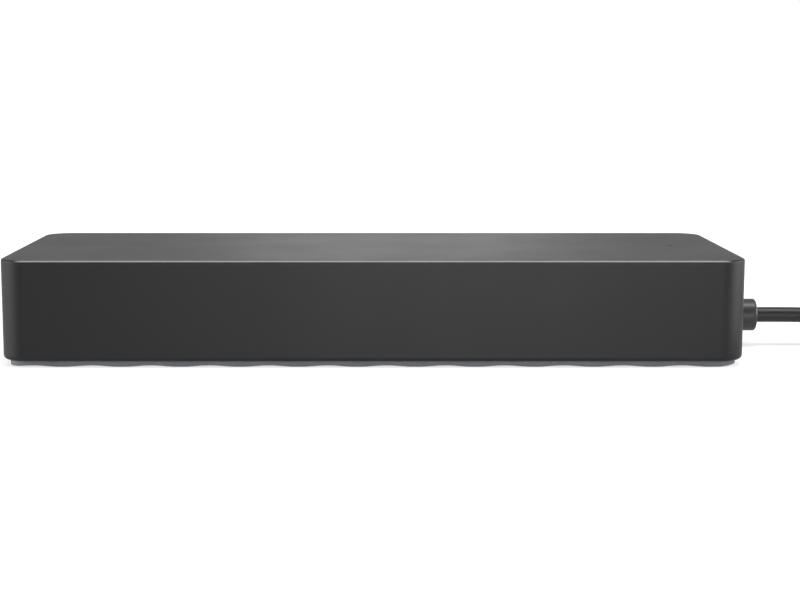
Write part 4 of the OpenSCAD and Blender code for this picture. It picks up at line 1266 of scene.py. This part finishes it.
def core_piece(name, socket, node, wide, thick, deep, nose):
    """A socket's black core: a plug of the shell's outline at the back and a flat tongue."""
    bm = bmesh.new()
    front = socket_core(bm, socket, deep)
    bmesh.ops.recalc_face_normals(bm, faces=bm.faces)
    soften(bm, lambda e: level(e, 1, front) and sharp(e), 0.15 * MM)
    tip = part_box(node)[1].y
    start = front - 0.5 * MM
    before = set(bm.verts)
    block(bm, (socket.x, (start + tip) / 2, socket.z), (wide, tip - start, thick))
    new = [v for v in bm.verts if v not in before]
    ease(bm, list({e for v in new for e in v.link_edges if level(e, 1, tip)}), nose, 4)
    new_piece(name, bm, "insert_plastic", [node], even=True)


class DOCK_OT_video_sockets(bpy.types.Operator):
    """Builds the two video sockets with their leaf springs and tongues"""

    bl_idname = "dock.video_sockets"
    bl_label = "Video sockets"

    def execute(self, context):
        for letter, wide in (("b", 13.0 * MM), ("a", 10.8 * MM)):
            style = "video_" + letter
            socket = Socket(style, "video_socket_%s_shell" % letter)
            socket.shell_piece(style + "_shell", (0.28, 5.6 * MM, 1.7 * MM, 0.3 * MM))
            core_piece(style + "_core", socket, "video_socket_%s_tongue" % letter,
                       wide, 1 * MM, 4 * MM, 0.22 * MM)
        return {"FINISHED"}


# across the flat socket, where its four blades and their slots are
BLADES = (-3.5 * MM, -1 * MM, 1 * MM, 3.5 * MM)


class DOCK_OT_flat_sockets(bpy.types.Operator):
    """Builds the two flat data sockets: shells, pale tongues and sprung blades"""

    bl_idname = "dock.flat_sockets"
    bl_label = "Flat sockets"

    def execute(self, context):
        for number in (1, 2):
            prefix = "type_a_socket_%d" % number
            socket = Socket("type_a", prefix + "_shell")
            socket.shell_piece("flat_shell_%d" % number, (0.24, 6.4 * MM, 2.0 * MM, 0.28 * MM))
            self.core(socket, "flat_core_%d" % number, prefix + "_tongue")
            self.blades(socket, "flat_blades_%d" % number, prefix + "_contacts",
                        "type_a_contacts_%d" % number)
        return {"FINISHED"}

    def slots(self, socket, y, top):
        """Cutters for the slots that the blades are pressed up into."""
        made = []
        for x in BLADES:
            slot = bmesh.new()
            block(slot, (socket.x + x, y, top), (1.2 * MM, 7.8 * MM, 1.6 * MM))
            made.append(slot)
        return made

    def core(self, socket, name, node):
        """The plate over the blades and the plug at the back, both slotted for the blades."""
        tip, core_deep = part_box(node)[1].y, 3.6 * MM
        core = bmesh.new()
        back = socket_core(core, socket, core_deep) - core_deep
        start = back + 3 * MM
        low, high = socket.z + 0.1 * MM, socket.z + 1.94 * MM
        plate = bmesh.new()
        block(plate, (socket.x, (start + tip) / 2, (low + high) / 2), (11.1 * MM, tip - start, high - low))
        soften(plate, lambda e: level(e, 1, tip), 0.4 * MM, 5)
        where = (socket, back + 7.3 * MM, low - 0.2 * MM)
        plate = cut(plate, *self.slots(*where))
        join(plate, cut(core, *self.slots(*where)))
        new_piece(name, plate, "tongue_plastic", [node], even=True)

    def blades(self, socket, name, node, body):
        """Four blades that slope down from their roots at 5 degrees, with a raised tip."""
        root_y, root_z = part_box(node)[0].y, socket.z + 0.42 * MM
        slope = math.tan(math.radians(5))
        shape = [(0, 0.08), (1.5, 0.08 - slope * 1.5), (3.5, 0.08 - slope * 3.5),
                 (5.2, 0.08 - slope * 5.2), (6.0, 0.06 - slope * 6.1), (6.4, 0.08 - slope * 6.2),
                 (6.95, 0.28 - slope * 6.2)]
        points = [(root_y + along * MM, root_z + (up - 0.1) * MM) for along, up in shape]
        bm = bmesh.new()
        for x in BLADES:
            ribbon(bm, points, 1.0 * MM, 0.18 * MM, centre=socket.x + x)
        bmesh.ops.recalc_face_normals(bm, faces=bm.faces)
        soften(bm, lambda e: sharp(e, 60), 0.04 * MM)
        new_piece(name, bm, "contact_gold", [node], body=body, crease=50)


class DOCK_OT_oval_sockets(bpy.types.Operator):
    """Builds the two oval sockets with their thin tongues"""

    bl_idname = "dock.oval_sockets"
    bl_label = "Oval sockets"

    def execute(self, context):
        for number in (1, 2):
            prefix = "type_c_socket_%d" % number
            socket = Socket("type_c", prefix + "_shell")
            socket.shell_piece("oval_shell_%d" % number)
            core_piece("oval_core_%d" % number, socket, prefix + "_tongue",
                       6.69 * MM, 0.7 * MM, 2.2 * MM, 0.14 * MM)
        return {"FINISHED"}


INNER_FINISHES = {
    "bottom_cover": "cover_plastic",
    "light_pipe": "clear_plastic",
    "status_led": "lamp_white",
    "cover_screws": "screw_steel",
    "board_screws": "screw_steel",
    "main_board": "board_laminate",
    "insulating_sheet": "film_black",
    "shield_can": "tinned_steel",
    "heat_spreader": "spreader_aluminium",
    "thermal_pads": "thermal_silicone",
    "hub_chip": "chip_resin",
    "video_chip": "chip_resin",
    "network_chip": "chip_resin",
    "power_chip": "chip_resin",
    "memory_chips": "chip_resin",
    "network_transformer": "transformer_resin",
    "inductors": "ferrite",
    "bulk_capacitors": "capacitor_aluminium",
    "chip_capacitors": "capacitor_ceramic",
    "crystals": "tinned_steel",
    "video_socket_b_contacts": "contact_gold",
    "video_socket_a_contacts": "contact_gold",
    "type_c_socket_1_contacts": "contact_gold",
    "type_c_socket_2_contacts": "contact_gold",
    "lead_jacket_end": "lead_jacket",
    "lead_ferrule": "tinned_steel",
    "lead_wires": "wire_insulation",
    "wire_header": "header_plastic",
    "plug_insert": "insert_plastic",
    "plug_contacts": "contact_gold",
}


class DOCK_OT_inner_parts(bpy.types.Operator):
    """Gives the frame's own parts their finishes"""

    bl_idname = "dock.inner_parts"
    bl_label = "Inner parts"

    def execute(self, context):
        for node, slot in INNER_FINISHES.items():
            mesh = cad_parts[node].data
            mesh.materials.clear()
            mesh.materials.append(finish(slot))
        return {"FINISHED"}


BUILD_ORDER = [
    DOCK_OT_stage, DOCK_OT_plug, DOCK_OT_lead, DOCK_OT_gland, DOCK_OT_casing, DOCK_OT_foot_pad,
    DOCK_OT_network_jack, DOCK_OT_video_sockets, DOCK_OT_flat_sockets, DOCK_OT_oval_sockets,
    DOCK_OT_inner_parts,
]


class DOCK_PT_panel(bpy.types.Panel):
    """Lists the pieces of the dock and the values that shape them"""

    bl_idname = "DOCK_PT_panel"
    bl_label = "Dock"
    bl_space_type = "VIEW_3D"
    bl_region_type = "UI"
    bl_category = "Dock"

    def draw(self, context):
        layout = self.layout
        for operator in BUILD_ORDER:
            layout.operator(operator.bl_idname)
        for group in (context.scene.dock_sizes, context.scene.dock_colours, context.scene.dock_studio):
            box = layout.box()
            for name in group.__annotations__:
                box.prop(group, name)


GROUPS = {"dock_sizes": DockSizes, "dock_colours": DockColours, "dock_studio": StudioSettings}
CLASSES = [*GROUPS.values(), *BUILD_ORDER, DOCK_PT_panel]


def register():
    for made in CLASSES:
        bpy.utils.register_class(made)
    for name, group in GROUPS.items():
        setattr(bpy.types.Scene, name, bpy.props.PointerProperty(type=group))


def unregister():
    for name in GROUPS:
        delattr(bpy.types.Scene, name)
    for made in reversed(CLASSES):
        bpy.utils.unregister_class(made)


def main():
    register()
    for operator in BUILD_ORDER:
        group, name = operator.bl_idname.split(".")
        getattr(getattr(bpy.ops, group), name)()
    bpy.context.view_layer.update()


if __name__ == "__main__":
    main()
